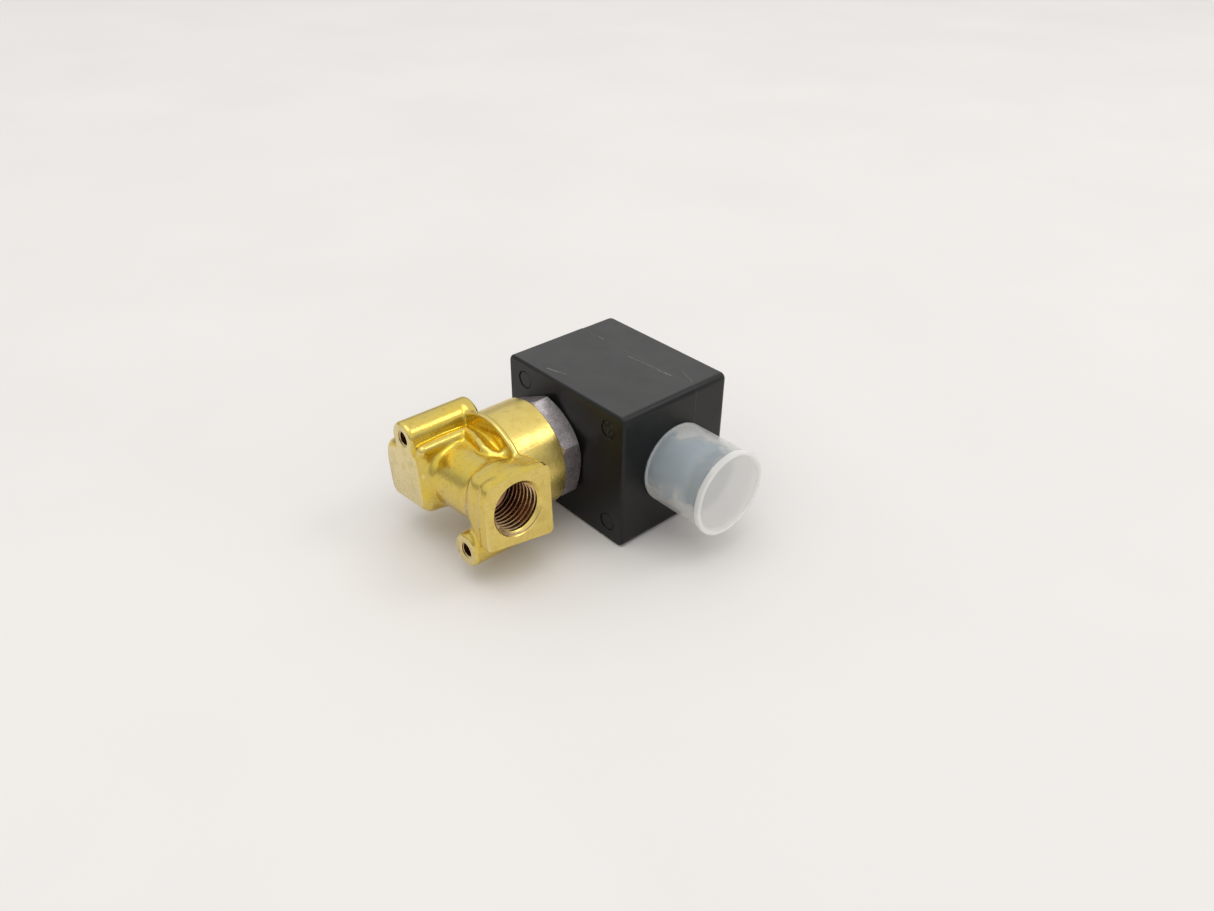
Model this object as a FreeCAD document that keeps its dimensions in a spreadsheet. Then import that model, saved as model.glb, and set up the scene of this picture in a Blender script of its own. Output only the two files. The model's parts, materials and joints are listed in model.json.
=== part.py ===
import FreeCAD, Part
import math
import os
import Sketcher
from FreeCAD import Placement, Rotation, Vector

# A two-port solenoid valve lying on its side, in millimetres.
#   origin  centre of the two mounting holes, on the tube's axis, at the mounting face
#   +X      along the tube, from the brass body to the coil nut
#   -Y      the side of the front port and of the connector with its cap
#   +Z      up, away from the coil face that the valve rests on
# The brass body and all that is screwed to it stand turned by roll_angle about the tube.

doc = FreeCAD.newDocument("SolenoidValve")
sheet = doc.addObject("Spreadsheet::Sheet", "Sizes")

SIZES = [
    ("roll_angle", -6.1, "turn of the valve body about the tube, against the coil, degrees"),
    # Brass body
    ("port_pitch", 9.7, "mounting face to the ports' axis"),
    ("port_face", 19.7, "tube axis to each port face"),
    ("port_minor", 5.72, "radius of the G1/4 thread's crests"),
    ("port_mouth", 6.75, "radius of the countersunk mouth"),
    ("port_depth", 12.0, "threaded depth of each port"),
    ("block_edge", 1.8, "rounding of the port blocks"),
    ("front_block_width", 17.9, "front block along the tube"),
    ("front_block_depth", 7.4, "front block along its port"),
    ("front_block_top", 9.2, "front block above the tube axis"),
    ("front_block_base", 9.0, "front block below the tube axis"),
    ("rear_block_width", 18.8, "rear block along the tube"),
    ("rear_block_depth", 14.6, "rear block along its port"),
    ("rear_block_top", 9.0, "rear block above the tube axis"),
    ("rear_block_base", 8.0, "rear block below the tube axis"),
    ("barrel_radius", 8.0, "round barrel between the blocks"),
    ("hole_offset", 10.6, "mounting hole from the tube axis, along each cross direction"),
    ("hole_minor", 1.65, "radius of the M4 thread's crests"),
    ("hole_mouth", 2.1, "radius of the hole's countersink"),
    ("hole_depth", 8.0, "depth of a mounting hole"),
    ("boss_radius", 4.1, "column round each mounting hole"),
    ("boss_length", 19.2, "length of a boss column"),
    ("shoulder_radius", 14.1, "forged shoulder that the neck is turned from"),
    ("shoulder_start", 16.2, "mounting face to the shoulder"),
    ("shoulder_length", 2.4, "length of the shoulder"),
    ("neck_radius", 13.7, "turned neck"),
    ("neck_start", 15.6, "mounting face to the neck's root"),
    ("neck_end", 28.6, "mounting face to the neck's rim"),
    ("neck_bore", 11.0, "bore that takes the bonnet"),
    ("ledge", 19.3, "mounting face to the ledge under the tube's flange"),
    ("chamber_radius", 8.6, "chamber round the seat"),
    ("chamber_wall", 1.6, "wall of the forging round the chamber"),
    ("chamber_floor", 16.9, "mounting face to the chamber's floor"),
    ("seat_radius", 3.0, "raised seat"),
    ("seat_rise", 1.5, "height of the raised seat"),
    ("seat_gap", 0.02, "gap left between the seat and its seal"),
    ("orifice_radius", 1.5, "orifice through the seat"),
    ("drilling_radius", 2.0, "drilling from the rear port to the orifice"),
    ("inlet_offset", 7.0, "tube axis to the drilling from the front port to the chamber"),
    # Bonnet, tube and the pieces inside
    ("hex_flats", 24.0, "across flats of the bonnet"),
    ("hex_height", 5.8, "height of the bonnet's hexagon"),
    ("hex_turn", 10.5, "turn of that hexagon about the tube, against the body, degrees"),
    ("spigot_radius", 10.9, "bonnet's screwed spigot"),
    ("flange_radius", 9.2, "flange of the tube"),
    ("flange_thick", 1.5, "thickness of the tube's flange"),
    ("ring_section", 0.74, "section radius of the bonnet's sealing ring"),
    ("tube_radius", 6.5, "outside of the armature tube"),
    ("tube_wall", 0.5, "wall of the armature tube"),
    ("armature_radius", 5.86, "sliding armature"),
    ("armature_nose", 4.2, "narrow nose at the seat end"),
    ("armature_start", 18.9, "mounting face to the armature's nose"),
    ("armature_shoulder", 22.4, "mounting face to the armature's full width"),
    ("armature_end", 50.0, "mounting face to the armature's upper face"),
    ("stroke", 2.5, "travel of the armature"),
    ("end_gap", 0.05, "gap left where two sub-parts meet end to end"),
    ("seal_pocket_radius", 2.6, "pocket for the seat seal in the armature's nose"),
    ("seal_pocket_depth", 2.2, "depth of that pocket"),
    ("guide_start", 2.0, "armature's shoulder to the guide ring"),
    ("guide_length", 2.5, "length of the guide ring"),
    ("guide_groove", 0.7, "depth of the guide ring's groove"),
    ("guide_gap", 0.05, "gap between the guide ring and the tube"),
    ("shading_inside", 4.0, "inside of the shading ring"),
    ("shading_outside", 5.0, "outside of the shading ring"),
    ("shading_depth", 1.6, "depth of the shading ring's groove"),
    ("shading_inset", 0.1, "core's face to the shading ring"),
    ("stud_chamfer", 0.6, "chamfer on the end of the stud"),
    ("core_end", 68.6, "mounting face to the fixed core's shoulder"),
    ("stud_radius", 4.0, "M8 stud on the fixed core"),
    ("stud_end", 75.8, "mounting face to the end of the stud"),
    ("spring_radius", 2.5, "mean radius of the return spring"),
    ("spring_wire", 0.28, "wire radius of the return spring"),
    ("spring_pocket", 3.1, "radius of the pockets that hold the spring"),
    ("spring_seat", 36.0, "mounting face to the spring's lower end"),
    ("spring_rise", 2.0, "depth of the spring's pocket in the core"),
    # Coil
    ("coil_start", 34.6, "mounting face to the coil"),
    ("coil_length", 34.4, "coil along the tube"),
    ("coil_back", 16.0, "tube axis to the back face"),
    ("coil_front", 26.5, "tube axis to the connector face"),
    ("coil_half", 18.25, "tube axis to the faces above and below"),
    ("coil_split", 57.9, "mounting face to the joint of the two mouldings"),
    ("coil_edge", 1.8, "rounding of the coil's edges"),
    ("coil_rim", 0.8, "rounding round the face towards the body"),
    ("coil_wall", 2.6, "end walls of the mouldings"),
    ("coil_bore", 7.0, "hole through the end walls"),
    ("yoke_half", 15.1, "tube axis to the yoke's outside, above and below"),
    ("yoke_thick", 3.0, "thickness of the yoke's plate"),
    ("yoke_reach", 12.6, "tube axis to the yoke's front and back edges"),
    ("bush_radius", 7.6, "outside of the flux bushes"),
    ("bush_length", 8.0, "length of a flux bush"),
    ("running_gap", 0.06, "gap between the tube and the coil's bore"),
    ("bobbin_radius", 8.7, "bobbin's barrel, outside"),
    ("bobbin_flange", 11.9, "bobbin's flanges"),
    ("bobbin_thick", 1.2, "thickness of a bobbin flange"),
    ("seal_section", 0.8, "section radius of the coil's sealing rings"),
    ("front_seal_radius", 11.0, "mean radius of the ring between bonnet and coil"),
    ("rear_seal_radius", 9.0, "mean radius of the ring under the washer"),
    ("washer_radius", 11.0, "spring washer under the coil nut"),
    ("washer_thick", 1.0, "thickness of that washer"),
    ("nut_flats", 13.0, "across flats of the coil nut"),
    ("nut_height", 5.0, "height of the coil nut"),
    ("washer_slack", 0.2, "gap between the washer and the stud"),
    # Connector and cap
    ("connector_pitch", 51.7, "mounting face to the connector's axis"),
    ("shell_radius", 9.4, "connector's screwed spigot"),
    ("shell_bore", 7.6, "inside of that spigot"),
    ("shell_length", 11.0, "spigot beyond the coil"),
    ("shell_root", 2.6, "depth of the shell's flange in the coil"),
    ("shell_flange", 10.2, "radius of that flange"),
    ("shell_relief", 0.6, "thread relief at the spigot's root and chamfer at its end"),
    ("relief_length", 1.2, "length of the relief"),
    ("lead_way", 1.2, "step from the insulator's seat to the way for the leads"),
    ("insulator_front", 4.5, "insulator beyond the coil"),
    ("insulator_root", 6.6, "insulator inside the coil"),
    ("contact_circle", 4.4, "radius of the circle of contacts"),
    ("contact_radius", 0.8, "radius of a contact"),
    ("contact_front", 9.0, "contacts beyond the coil"),
    ("lead_radius", 0.35, "radius of a lead from the winding"),
    ("winding_inset", 0.3, "winding below the bobbin's flanges"),
    ("strap_thick", 0.3, "thickness of the earth strap"),
    ("strap_width", 2.0, "width of the earth strap"),
    ("strap_inset", 0.1, "yoke's front edge to the strap"),
    ("face_seal_radius", 6.7, "mean radius of the ring on the insulator"),
    ("face_seal_section", 0.7, "section radius of that ring"),
    ("cap_radius", 10.4, "outside of the protective cap"),
    ("cap_bore", 9.6, "inside of the cap"),
    ("cap_gap", 0.2, "gap between the cap and the coil"),
    ("cap_length", 16.9, "coil to the cap's end flange"),
    ("cap_flange", 11.0, "radius of the cap's end flange"),
    ("cap_end", 1.4, "thickness of the cap's end"),
    ("cap_recess", 0.5, "depth of the recess in the cap's end"),
    ("cap_rim", 1.3, "width of the rim round that recess"),
    ("cap_slope", 0.3, "slope of the recess's edge"),
]


class Length:
    """A length that keeps the sheet's expression beside its value."""

    def __init__(self, value, text):
        self.value = value
        self.text = text

    def __add__(self, other):
        other = as_length(other)
        return Length(self.value + other.value, "(%s + %s)" % (self.text, other.text))

    def __sub__(self, other):
        other = as_length(other)
        return Length(self.value - other.value, "(%s - %s)" % (self.text, other.text))

    def __mul__(self, factor):
        return Length(self.value * factor, "(%s * %s)" % (self.text, factor))

    def __neg__(self):
        return self * -1


def as_length(number):
    """Return a plain number as a Length, and a Length as it is."""
    if isinstance(number, Length):
        return number
    return Length(float(number), str(number))


class Cells:
    """The sheet's lengths, by alias."""


cells = Cells()
for row, (alias, number, meaning) in enumerate(SIZES, start=1):
    sheet.set("A%d" % row, meaning)
    sheet.set("B%d" % row, str(number))
    sheet.setAlias("B%d" % row, alias)
    setattr(cells, alias, Length(number, "Sizes." + alias))
doc.recompute()
c = cells

ALONG_TUBE = Placement()
TURNED_BY_ROLL = Placement(Vector(), Rotation(Vector(1, 0, 0), sheet.roll_angle))
# Local +X of the connector's pieces points out of the coil, towards -Y.
CONNECTOR = Placement(
    Vector(sheet.connector_pitch, -sheet.coil_front, 0), Rotation(Vector(0, 0, 1), -90)
)
subparts = []


# ---------------------------------------------------------------- helpers

def bind(thing, **lengths):
    """Tie properties of a document object to the sheet."""
    for name, length in lengths.items():
        thing.setExpression(name, as_length(length).text)


def keep(thing, label, placement):
    """Name a finished sub-part, put it in its place and list it."""
    thing.Label = label
    thing.Placement = placement
    subparts.append(thing)
    return thing


def plane(body, role):
    """Find one of a body's own origin planes."""
    return next(item for item in body.Origin.OriginFeatures if item.Role == role)


def outline(body, name, role, corners, offset=None):
    """Draw a closed outline whose corners are tied to the sheet, on an origin plane."""
    sketch = body.newObject("Sketcher::SketchObject", name)
    sketch.AttachmentSupport = [(plane(body, role), "")]
    sketch.MapMode = "FlatFace"
    if offset is not None:
        sketch.setExpression("AttachmentOffset.Base.z", as_length(offset).text)
    corners = [(as_length(across), as_length(up)) for across, up in corners]
    points = [Vector(across.value, up.value, 0) for across, up in corners]
    count = len(points)
    for index, point in enumerate(points):
        sketch.addGeometry(Part.LineSegment(point, points[(index + 1) % count]))
    for index in range(count):
        sketch.addConstraint(
            Sketcher.Constraint("Coincident", index, 2, (index + 1) % count, 1)
        )
    for index, (across, up) in enumerate(corners):
        tie_corner(sketch, index, "DistanceX", across)
        tie_corner(sketch, index, "DistanceY", up)
    return sketch


def tie_corner(sketch, index, direction, length):
    """Fix one coordinate of an outline's corner from the sketch's origin."""
    constraint = Sketcher.Constraint(direction, -1, 1, index, 1, length.value)
    number = sketch.addConstraint(constraint)
    sketch.setExpression("Constraints[%d]" % number, length.text)


def ring_sketch(body, name, role, centre, radii, offset=None):
    """Draw concentric circles on an origin plane, tied to the sheet."""
    sketch = body.newObject("Sketcher::SketchObject", name)
    sketch.AttachmentSupport = [(plane(body, role), "")]
    sketch.MapMode = "FlatFace"
    if offset is not None:
        sketch.setExpression("AttachmentOffset.Base.z", as_length(offset).text)
    across, up = as_length(centre[0]), as_length(centre[1])
    for index, radius in enumerate(radii):
        middle = Vector(across.value, up.value, 0)
        sketch.addGeometry(Part.Circle(middle, Vector(0, 0, 1), radius.value))
        number = sketch.addConstraint(Sketcher.Constraint("Radius", index, radius.value))
        sketch.setExpression("Constraints[%d]" % number, radius.text)
        for direction, length in (("DistanceX", across), ("DistanceY", up)):
            constraint = Sketcher.Constraint(direction, -1, 1, index, 3, length.value)
            number = sketch.addConstraint(constraint)
            sketch.setExpression("Constraints[%d]" % number, length.text)
    return sketch


def turn(body, name, profile):
    """Turn a profile once round the body's X axis."""
    feature = body.newObject("PartDesign::Revolution", name)
    feature.Profile = profile
    feature.ReferenceAxis = (profile, ["H_Axis"])
    feature.Angle = 360
    body.Tip = feature
    doc.recompute()
    return feature


def turned(label, placement, corners):
    """Make a sub-part by turning an outline of (along, radius) corners."""
    body = doc.addObject("PartDesign::Body", label + "_body")
    turn(body, label + "_turned", outline(body, label + "_profile", "XY_Plane", corners))
    return keep(body, label, placement)


def ring(label, placement, middle, mean_radius, section):
    """Make a round-section sealing ring about the X axis."""
    body = doc.addObject("PartDesign::Body", label + "_body")
    sketch = ring_sketch(body, label + "_section", "XY_Plane", (middle, mean_radius), [section])
    turn(body, label + "_ring", sketch)
    return keep(body, label, placement)


def pad(body, name, sketch, length, backwards=False):
    """Pad a sketch along its normal."""
    feature = body.newObject("PartDesign::Pad", name)
    feature.Profile = sketch
    bind(feature, Length=length)
    feature.Reversed = backwards
    body.Tip = feature
    doc.recompute()
    return feature


def pocket(body, name, sketch, length, backwards=False):
    """Cut a sketch's area out of a body, and check that it removes material."""
    before = body.Shape.Volume
    feature = body.newObject("PartDesign::Pocket", name)
    feature.Profile = sketch
    bind(feature, Length=length)
    feature.Reversed = backwards
    body.Tip = feature
    doc.recompute()
    if not body.Shape.Volume < before - 1e-6:
        raise RuntimeError("%s removes nothing" % name)
    return feature


def round_edges(body, name, radius, wanted):
    """Fillet those edges of the body's last feature that the test picks."""
    base = body.Tip
    names = []
    for number, edge in enumerate(base.Shape.Edges, start=1):
        if wanted(edge):
            names.append("Edge%d" % number)
    feature = body.newObject("PartDesign::Fillet", name)
    feature.Base = (base, names)
    bind(feature, Radius=radius)
    body.Tip = feature
    doc.recompute()
    return feature


def cylinder(name, radius, height, start, direction):
    """Make a Part cylinder that starts at a point and runs along a direction."""
    thing = doc.addObject("Part::Cylinder", name)
    bind(thing, Radius=radius, Height=height)
    place(thing, start, direction)
    return thing


def cone(name, near_radius, far_radius, height, start, direction):
    """Make a Part cone that starts at a point and runs along a direction."""
    thing = doc.addObject("Part::Cone", name)
    bind(thing, Radius1=near_radius, Radius2=far_radius, Height=height)
    place(thing, start, direction)
    return thing


def prism(name, flats, height, start):
    """Make a hexagonal bar along +X from a point on the tube's axis."""
    thing = doc.addObject("Part::Prism", name)
    thing.Polygon = 6
    bind(thing, Circumradius=flats * (1 / math.sqrt(3)), Height=height)
    place(thing, (start, 0, 0), Vector(1, 0, 0))
    return thing


def chamfer_cone(name, flats, height, start):
    """Make the cone that chamfers a hexagon's far corners at 30 degrees down to its flats."""
    slope = math.sqrt(3)
    return cone(name, flats * 0.5 + height * slope, flats * 0.5, height, (start, 0, 0), TUBEWARD)


def box(name, sizes, corner):
    """Make a Part box from its three sizes and its lowest corner."""
    thing = doc.addObject("Part::Box", name)
    bind(thing, Length=sizes[0], Width=sizes[1], Height=sizes[2])
    place(thing, corner, Vector(0, 0, 1))
    return thing


def place(thing, start, direction):
    """Aim a primitive's own Z axis and tie its base point to the sheet."""
    thing.Placement = Placement(Vector(), Rotation(Vector(0, 0, 1), direction))
    for axis, length in zip("xyz", start):
        thing.setExpression("Placement.Base." + axis, as_length(length).text)


def fuse(name, pieces):
    """Join several pieces into one."""
    thing = doc.addObject("Part::MultiFuse", name)
    thing.Shapes = pieces
    doc.recompute()
    return thing


def cut(name, base, tool):
    """Take one piece out of another."""
    thing = doc.addObject("Part::Cut", name)
    thing.Base = base
    thing.Tool = tool
    doc.recompute()
    return thing


def rounded(name, thing, radius):
    """Round every edge of a Part box."""
    doc.recompute()
    fillet = doc.addObject("Part::Fillet", name)
    fillet.Base = thing
    fillet.Edges = [(number, radius, radius) for number in range(1, len(thing.Shape.Edges) + 1)]
    doc.recompute()
    return fillet


TUBEWARD = Vector(1, 0, 0)
FRONTWARD = Vector(0, -1, 0)
REARWARD = Vector(0, 1, 0)
DRILL_POINT = 0.6  # height of a drill's point over its radius, for an included angle of 118 degrees


# ---------------------------------------------------------------- brass body

def port_tools(side, direction):
    """Return the cutters of one port: thread bore, drill point and countersunk mouth."""
    face = c.port_face if direction.y > 0 else -c.port_face
    inward = direction * -1
    step = 1 if direction.y > 0 else -1
    bottom = face - c.port_depth * step
    flare = c.port_mouth - c.port_minor
    mouth = (c.port_pitch, face, 0)
    point = c.port_minor * DRILL_POINT
    return [
        cylinder(side + "_port_bore", c.port_minor, c.port_depth, mouth, inward),
        cone(side + "_port_point", c.port_minor, 0, point, (c.port_pitch, bottom, 0), inward),
        cone(side + "_port_flare", c.port_mouth, c.port_minor, flare, mouth, inward),
    ]


def hole_tools(side, step):
    """Return the cutters of one M4 mounting hole and its countersink."""
    offset = c.hole_offset * step
    flare = c.hole_mouth - c.hole_minor
    mouth = (0, offset, offset)
    point = c.hole_minor * DRILL_POINT
    return [
        cylinder(side + "_hole_bore", c.hole_minor, c.hole_depth, mouth, TUBEWARD),
        cone(side + "_hole_point", c.hole_minor, 0, point, (c.hole_depth, offset, offset), TUBEWARD),
        cone(side + "_hole_flare", c.hole_mouth, c.hole_minor, flare, mouth, TUBEWARD),
    ]


def valve_body():
    """Forged body: two port blocks, a round barrel, two screw columns and a turned neck."""
    front_block = box(
        "front_block",
        (c.front_block_width, c.front_block_depth, c.front_block_top + c.front_block_base),
        (c.port_pitch - c.front_block_width * 0.5, -c.port_face, -c.front_block_base),
    )
    rear_block = box(
        "rear_block",
        (c.rear_block_width, c.rear_block_depth, c.rear_block_top + c.rear_block_base),
        (0, c.port_face - c.rear_block_depth, -c.rear_block_base),
    )
    barrel_length = c.port_face * 2 - c.block_edge * 4
    barrel_start = (c.port_pitch, c.block_edge * 2 - c.port_face, 0)
    root_length = c.neck_start - c.port_pitch
    neck_length = c.neck_end - c.neck_start
    pieces = [
        rounded("front_block_rounded", front_block, sheet.block_edge),
        rounded("rear_block_rounded", rear_block, sheet.block_edge),
        cylinder("barrel", c.barrel_radius, barrel_length, barrel_start, REARWARD),
        cylinder("root", c.chamber_radius + c.chamber_wall, root_length, (c.port_pitch, 0, 0), TUBEWARD),
        cylinder("shoulder", c.shoulder_radius, c.shoulder_length, (c.shoulder_start, 0, 0), TUBEWARD),
        cylinder("neck", c.neck_radius, neck_length, (c.neck_start, 0, 0), TUBEWARD),
    ]
    for side, step in (("upper", 1), ("lower", -1)):
        offset = c.hole_offset * step
        column = cylinder(side + "_column", c.boss_radius, c.boss_length, (0, offset, offset), TUBEWARD)
        pieces.append(column)
    forging = fuse("forging", pieces)

    seat_top = c.chamber_floor + c.seat_rise
    floor = (c.chamber_floor, 0, 0)
    chamber_bore = cylinder("chamber_bore", c.chamber_radius, c.ledge - c.chamber_floor, floor, TUBEWARD)
    seat = cylinder("seat", c.seat_radius, c.seat_rise, floor, TUBEWARD)
    outlet_length = c.port_face - c.port_depth
    tools = [
        cut("chamber", chamber_bore, seat),
        cylinder("neck_bore", c.neck_bore, c.neck_end - c.ledge, (c.ledge, 0, 0), TUBEWARD),
        cylinder("orifice", c.orifice_radius, seat_top - c.port_pitch, (c.port_pitch, 0, 0), TUBEWARD),
        cylinder("outlet", c.drilling_radius, outlet_length, (c.port_pitch, 0, 0), REARWARD),
        cylinder("inlet", c.orifice_radius, c.chamber_floor - c.port_pitch,
                 (c.port_pitch, -c.inlet_offset, 0), TUBEWARD),
    ]
    tools += port_tools("front", FRONTWARD)
    tools += port_tools("rear", REARWARD)
    tools += hole_tools("upper", 1)
    tools += hole_tools("lower", -1)
    machined = cut("machined_body", forging, fuse("body_cutters", tools))
    return keep(machined, "valve_body", TURNED_BY_ROLL)


# ---------------------------------------------------------------- bonnet, tube and inner pieces

def bonnet_nut():
    """Steel hexagon screwed into the neck, which clamps the tube's flange."""
    hexagon = prism("bonnet_hexagon", c.hex_flats, c.hex_height, c.neck_end)
    hexagon.Placement.Rotation = Rotation(TUBEWARD, sheet.hex_turn) * hexagon.Placement.Rotation
    chamfer = chamfer_cone("bonnet_chamfer", c.hex_flats, c.hex_height, c.neck_end)
    blank = doc.addObject("Part::Common", "bonnet_blank")
    blank.Base = hexagon
    blank.Tool = chamfer
    spigot_start = c.ledge + c.flange_thick
    foot = (spigot_start, 0, 0)
    spigot = cylinder("bonnet_spigot", c.spigot_radius, c.neck_end - spigot_start, foot, TUBEWARD)
    joined = fuse("bonnet_joined", [blank, spigot])
    bore_length = c.neck_end + c.hex_height - spigot_start
    bore = cylinder("bonnet_bore", c.tube_radius, bore_length, foot, TUBEWARD)
    return keep(cut("bonnet_bored", joined, bore), "bonnet_nut", TURNED_BY_ROLL)


def armature_tube():
    """Thin non-magnetic tube, flanged where the bonnet clamps it."""
    bore = c.tube_radius - c.tube_wall
    flange_top = c.ledge + c.flange_thick
    return turned("armature_tube", TURNED_BY_ROLL, [
        (c.ledge, bore),
        (c.ledge, c.flange_radius),
        (flange_top, c.flange_radius),
        (flange_top, c.tube_radius),
        (c.core_end, c.tube_radius),
        (c.core_end, bore),
    ])


def core_face():
    """Return the X of the fixed core's face, which stops the armature."""
    return c.armature_end + c.stroke + c.end_gap


def fixed_core():
    """Fixed core in the tube's end, with the groove of the shading ring and the coil's stud."""
    face = core_face()
    bore = c.tube_radius - c.tube_wall
    pocket_end = face + c.spring_rise
    groove_end = face + c.shading_depth
    return turned("fixed_core", TURNED_BY_ROLL, [
        (pocket_end, 0),
        (pocket_end, c.spring_pocket),
        (face, c.spring_pocket),
        (face, c.shading_inside),
        (groove_end, c.shading_inside),
        (groove_end, c.shading_outside),
        (face, c.shading_outside),
        (face, bore),
        (c.core_end, bore),
        (c.core_end, c.stud_radius),
        (c.stud_end - c.stud_chamfer, c.stud_radius),
        (c.stud_end, c.stud_radius - c.stud_chamfer),
        (c.stud_end, 0),
    ])


def shading_ring():
    """Copper ring let into the fixed core's face."""
    start = core_face() + c.shading_inset
    end = core_face() + c.shading_depth
    return turned("shading_ring", TURNED_BY_ROLL, [
        (start, c.shading_inside),
        (start, c.shading_outside),
        (end, c.shading_outside),
        (end, c.shading_inside),
    ])


def armature():
    """Sliding steel armature with a pocket for its seat seal and one for the spring."""
    seal_pocket = c.armature_start + c.seal_pocket_depth
    guide_start = c.armature_shoulder + c.guide_start
    guide_end = guide_start + c.guide_length
    groove = c.armature_radius - c.guide_groove
    return turned("armature", TURNED_BY_ROLL, [
        (seal_pocket, 0),
        (seal_pocket, c.seal_pocket_radius),
        (c.armature_start, c.seal_pocket_radius),
        (c.armature_start, c.armature_nose),
        (c.armature_shoulder, c.armature_nose),
        (c.armature_shoulder, c.armature_radius),
        (guide_start, c.armature_radius),
        (guide_start, groove),
        (guide_end, groove),
        (guide_end, c.armature_radius),
        (c.armature_end, c.armature_radius),
        (c.armature_end, c.spring_pocket),
        (c.spring_seat, c.spring_pocket),
        (c.spring_seat, 0),
    ])


def seat_seal():
    """Rubber disc in the armature's nose, which closes the orifice."""
    face = c.chamber_floor + c.seat_rise + c.seat_gap
    back = c.armature_start + c.seal_pocket_depth
    radius = c.seal_pocket_radius
    return turned("seat_seal", TURNED_BY_ROLL, [(face, 0), (face, radius), (back, radius), (back, 0)])


def guide_ring():
    """Low-friction ring in the armature's groove, which runs in the tube."""
    start = c.armature_shoulder + c.guide_start
    end = start + c.guide_length
    outside = c.tube_radius - c.tube_wall - c.guide_gap
    inside = c.armature_radius - c.guide_groove
    return turned("guide_ring", TURNED_BY_ROLL, [
        (start, inside), (start, outside), (end, outside), (end, inside),
    ])


def return_spring():
    """Coil spring between the armature and the fixed core."""
    room = core_face() + c.spring_rise - c.spring_seat
    length = room - c.spring_wire * 2 - c.end_gap * 2
    helix = doc.addObject("Part::Helix", "spring_path")
    turns = 9
    bind(helix, Radius=c.spring_radius, Pitch=length * (1 / turns), Height=length)
    section = doc.addObject("Part::Circle", "spring_section")
    bind(section, Radius=c.spring_wire)
    section.Placement = Placement(Vector(sheet.spring_radius, 0, 0), Rotation(Vector(1, 0, 0), 90))
    doc.recompute()
    spring = doc.addObject("Part::Sweep", "spring_sweep")
    spring.Sections = [section]
    spring.Spine = (helix, ["Edge1"])
    spring.Solid = True
    spring.Frenet = True
    doc.recompute()
    start = Vector(sheet.spring_seat + sheet.spring_wire + sheet.end_gap, 0, 0)
    return keep(spring, "return_spring", Placement(start, Rotation(Vector(0, 1, 0), 90)))


# ---------------------------------------------------------------- coil

def coil_end():
    """Return the X of the coil's far face."""
    return c.coil_start + c.coil_length


def block_outline(body, name, start):
    """Draw the coil's rectangular outline across the tube at a distance along it."""
    corners = [
        (-c.coil_front, -c.coil_half),
        (c.coil_back, -c.coil_half),
        (c.coil_back, c.coil_half),
        (-c.coil_front, c.coil_half),
    ]
    return outline(body, name, "YZ_Plane", corners, start)


def cavity_outline(body, name, start):
    """Draw the rectangular room for the yoke and the winding."""
    corners = [
        (-c.yoke_reach, -c.yoke_half),
        (c.yoke_reach, -c.yoke_half),
        (c.yoke_reach, c.yoke_half),
        (-c.yoke_reach, c.yoke_half),
    ]
    return outline(body, name, "YZ_Plane", corners, start)


def is_long_edge(edge):
    """Tell whether a straight edge lies along the tube at the block's corner."""
    low, high = edge.BoundBox.XMin, edge.BoundBox.XMax
    return high - low > 5 and abs(edge.BoundBox.ZMax) > sheet.coil_half - 0.01


def is_on_end(position, inset):
    """Return a test for the outer edges round the end face at a position."""
    def wanted(edge):
        bounds = edge.BoundBox
        flat = abs(bounds.XMin - position) < 0.01 and abs(bounds.XMax - position) < 0.01
        reach = max(abs(bounds.YMin), abs(bounds.YMax), abs(bounds.ZMin), abs(bounds.ZMax))
        return flat and reach > inset
    return wanted


def coil_housing():
    """Main moulding of the coil, open towards the tube's end, with the connector's seat."""
    body = doc.addObject("PartDesign::Body", "coil_housing_body")
    length = c.coil_split - c.coil_start
    pad(body, "housing_block", block_outline(body, "housing_outline", c.coil_start), length)
    round_edges(body, "housing_long_edges", c.coil_edge, is_long_edge)
    round_edges(body, "housing_rim", c.coil_rim, is_on_end(sheet.coil_start, 12))
    room = cavity_outline(body, "housing_room_outline", c.coil_split)
    pocket(body, "housing_room", room, length - c.coil_wall)
    bore = ring_sketch(body, "housing_bore_circle", "YZ_Plane", (0, 0), [c.coil_bore], c.coil_start)
    pocket(body, "housing_bore", bore, c.coil_wall + 1, True)
    groove_circles = [c.front_seal_radius + c.seal_section, c.front_seal_radius - c.seal_section]
    groove = ring_sketch(body, "housing_groove_circles", "YZ_Plane", (0, 0), groove_circles, c.coil_start)
    pocket(body, "housing_groove", groove, c.seal_section * 2, True)
    return connector_seat(body)


def connector_seat(body):
    """Bore the stepped seat of the connector into the housing's front face."""
    steps = [
        ("flange", c.shell_flange, c.shell_root),
        ("shell", c.shell_bore, c.insulator_root),
        ("leads", c.shell_bore - c.lead_way, c.coil_front - c.yoke_reach),
    ]
    for name, radius, depth in steps:
        centre = (c.connector_pitch, 0)
        circle = ring_sketch(body, "seat_%s_circle" % name, "XZ_Plane", centre, [radius], c.coil_front)
        pocket(body, "seat_" + name, circle, depth)
    return keep(body, "coil_housing", ALONG_TUBE)


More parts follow.
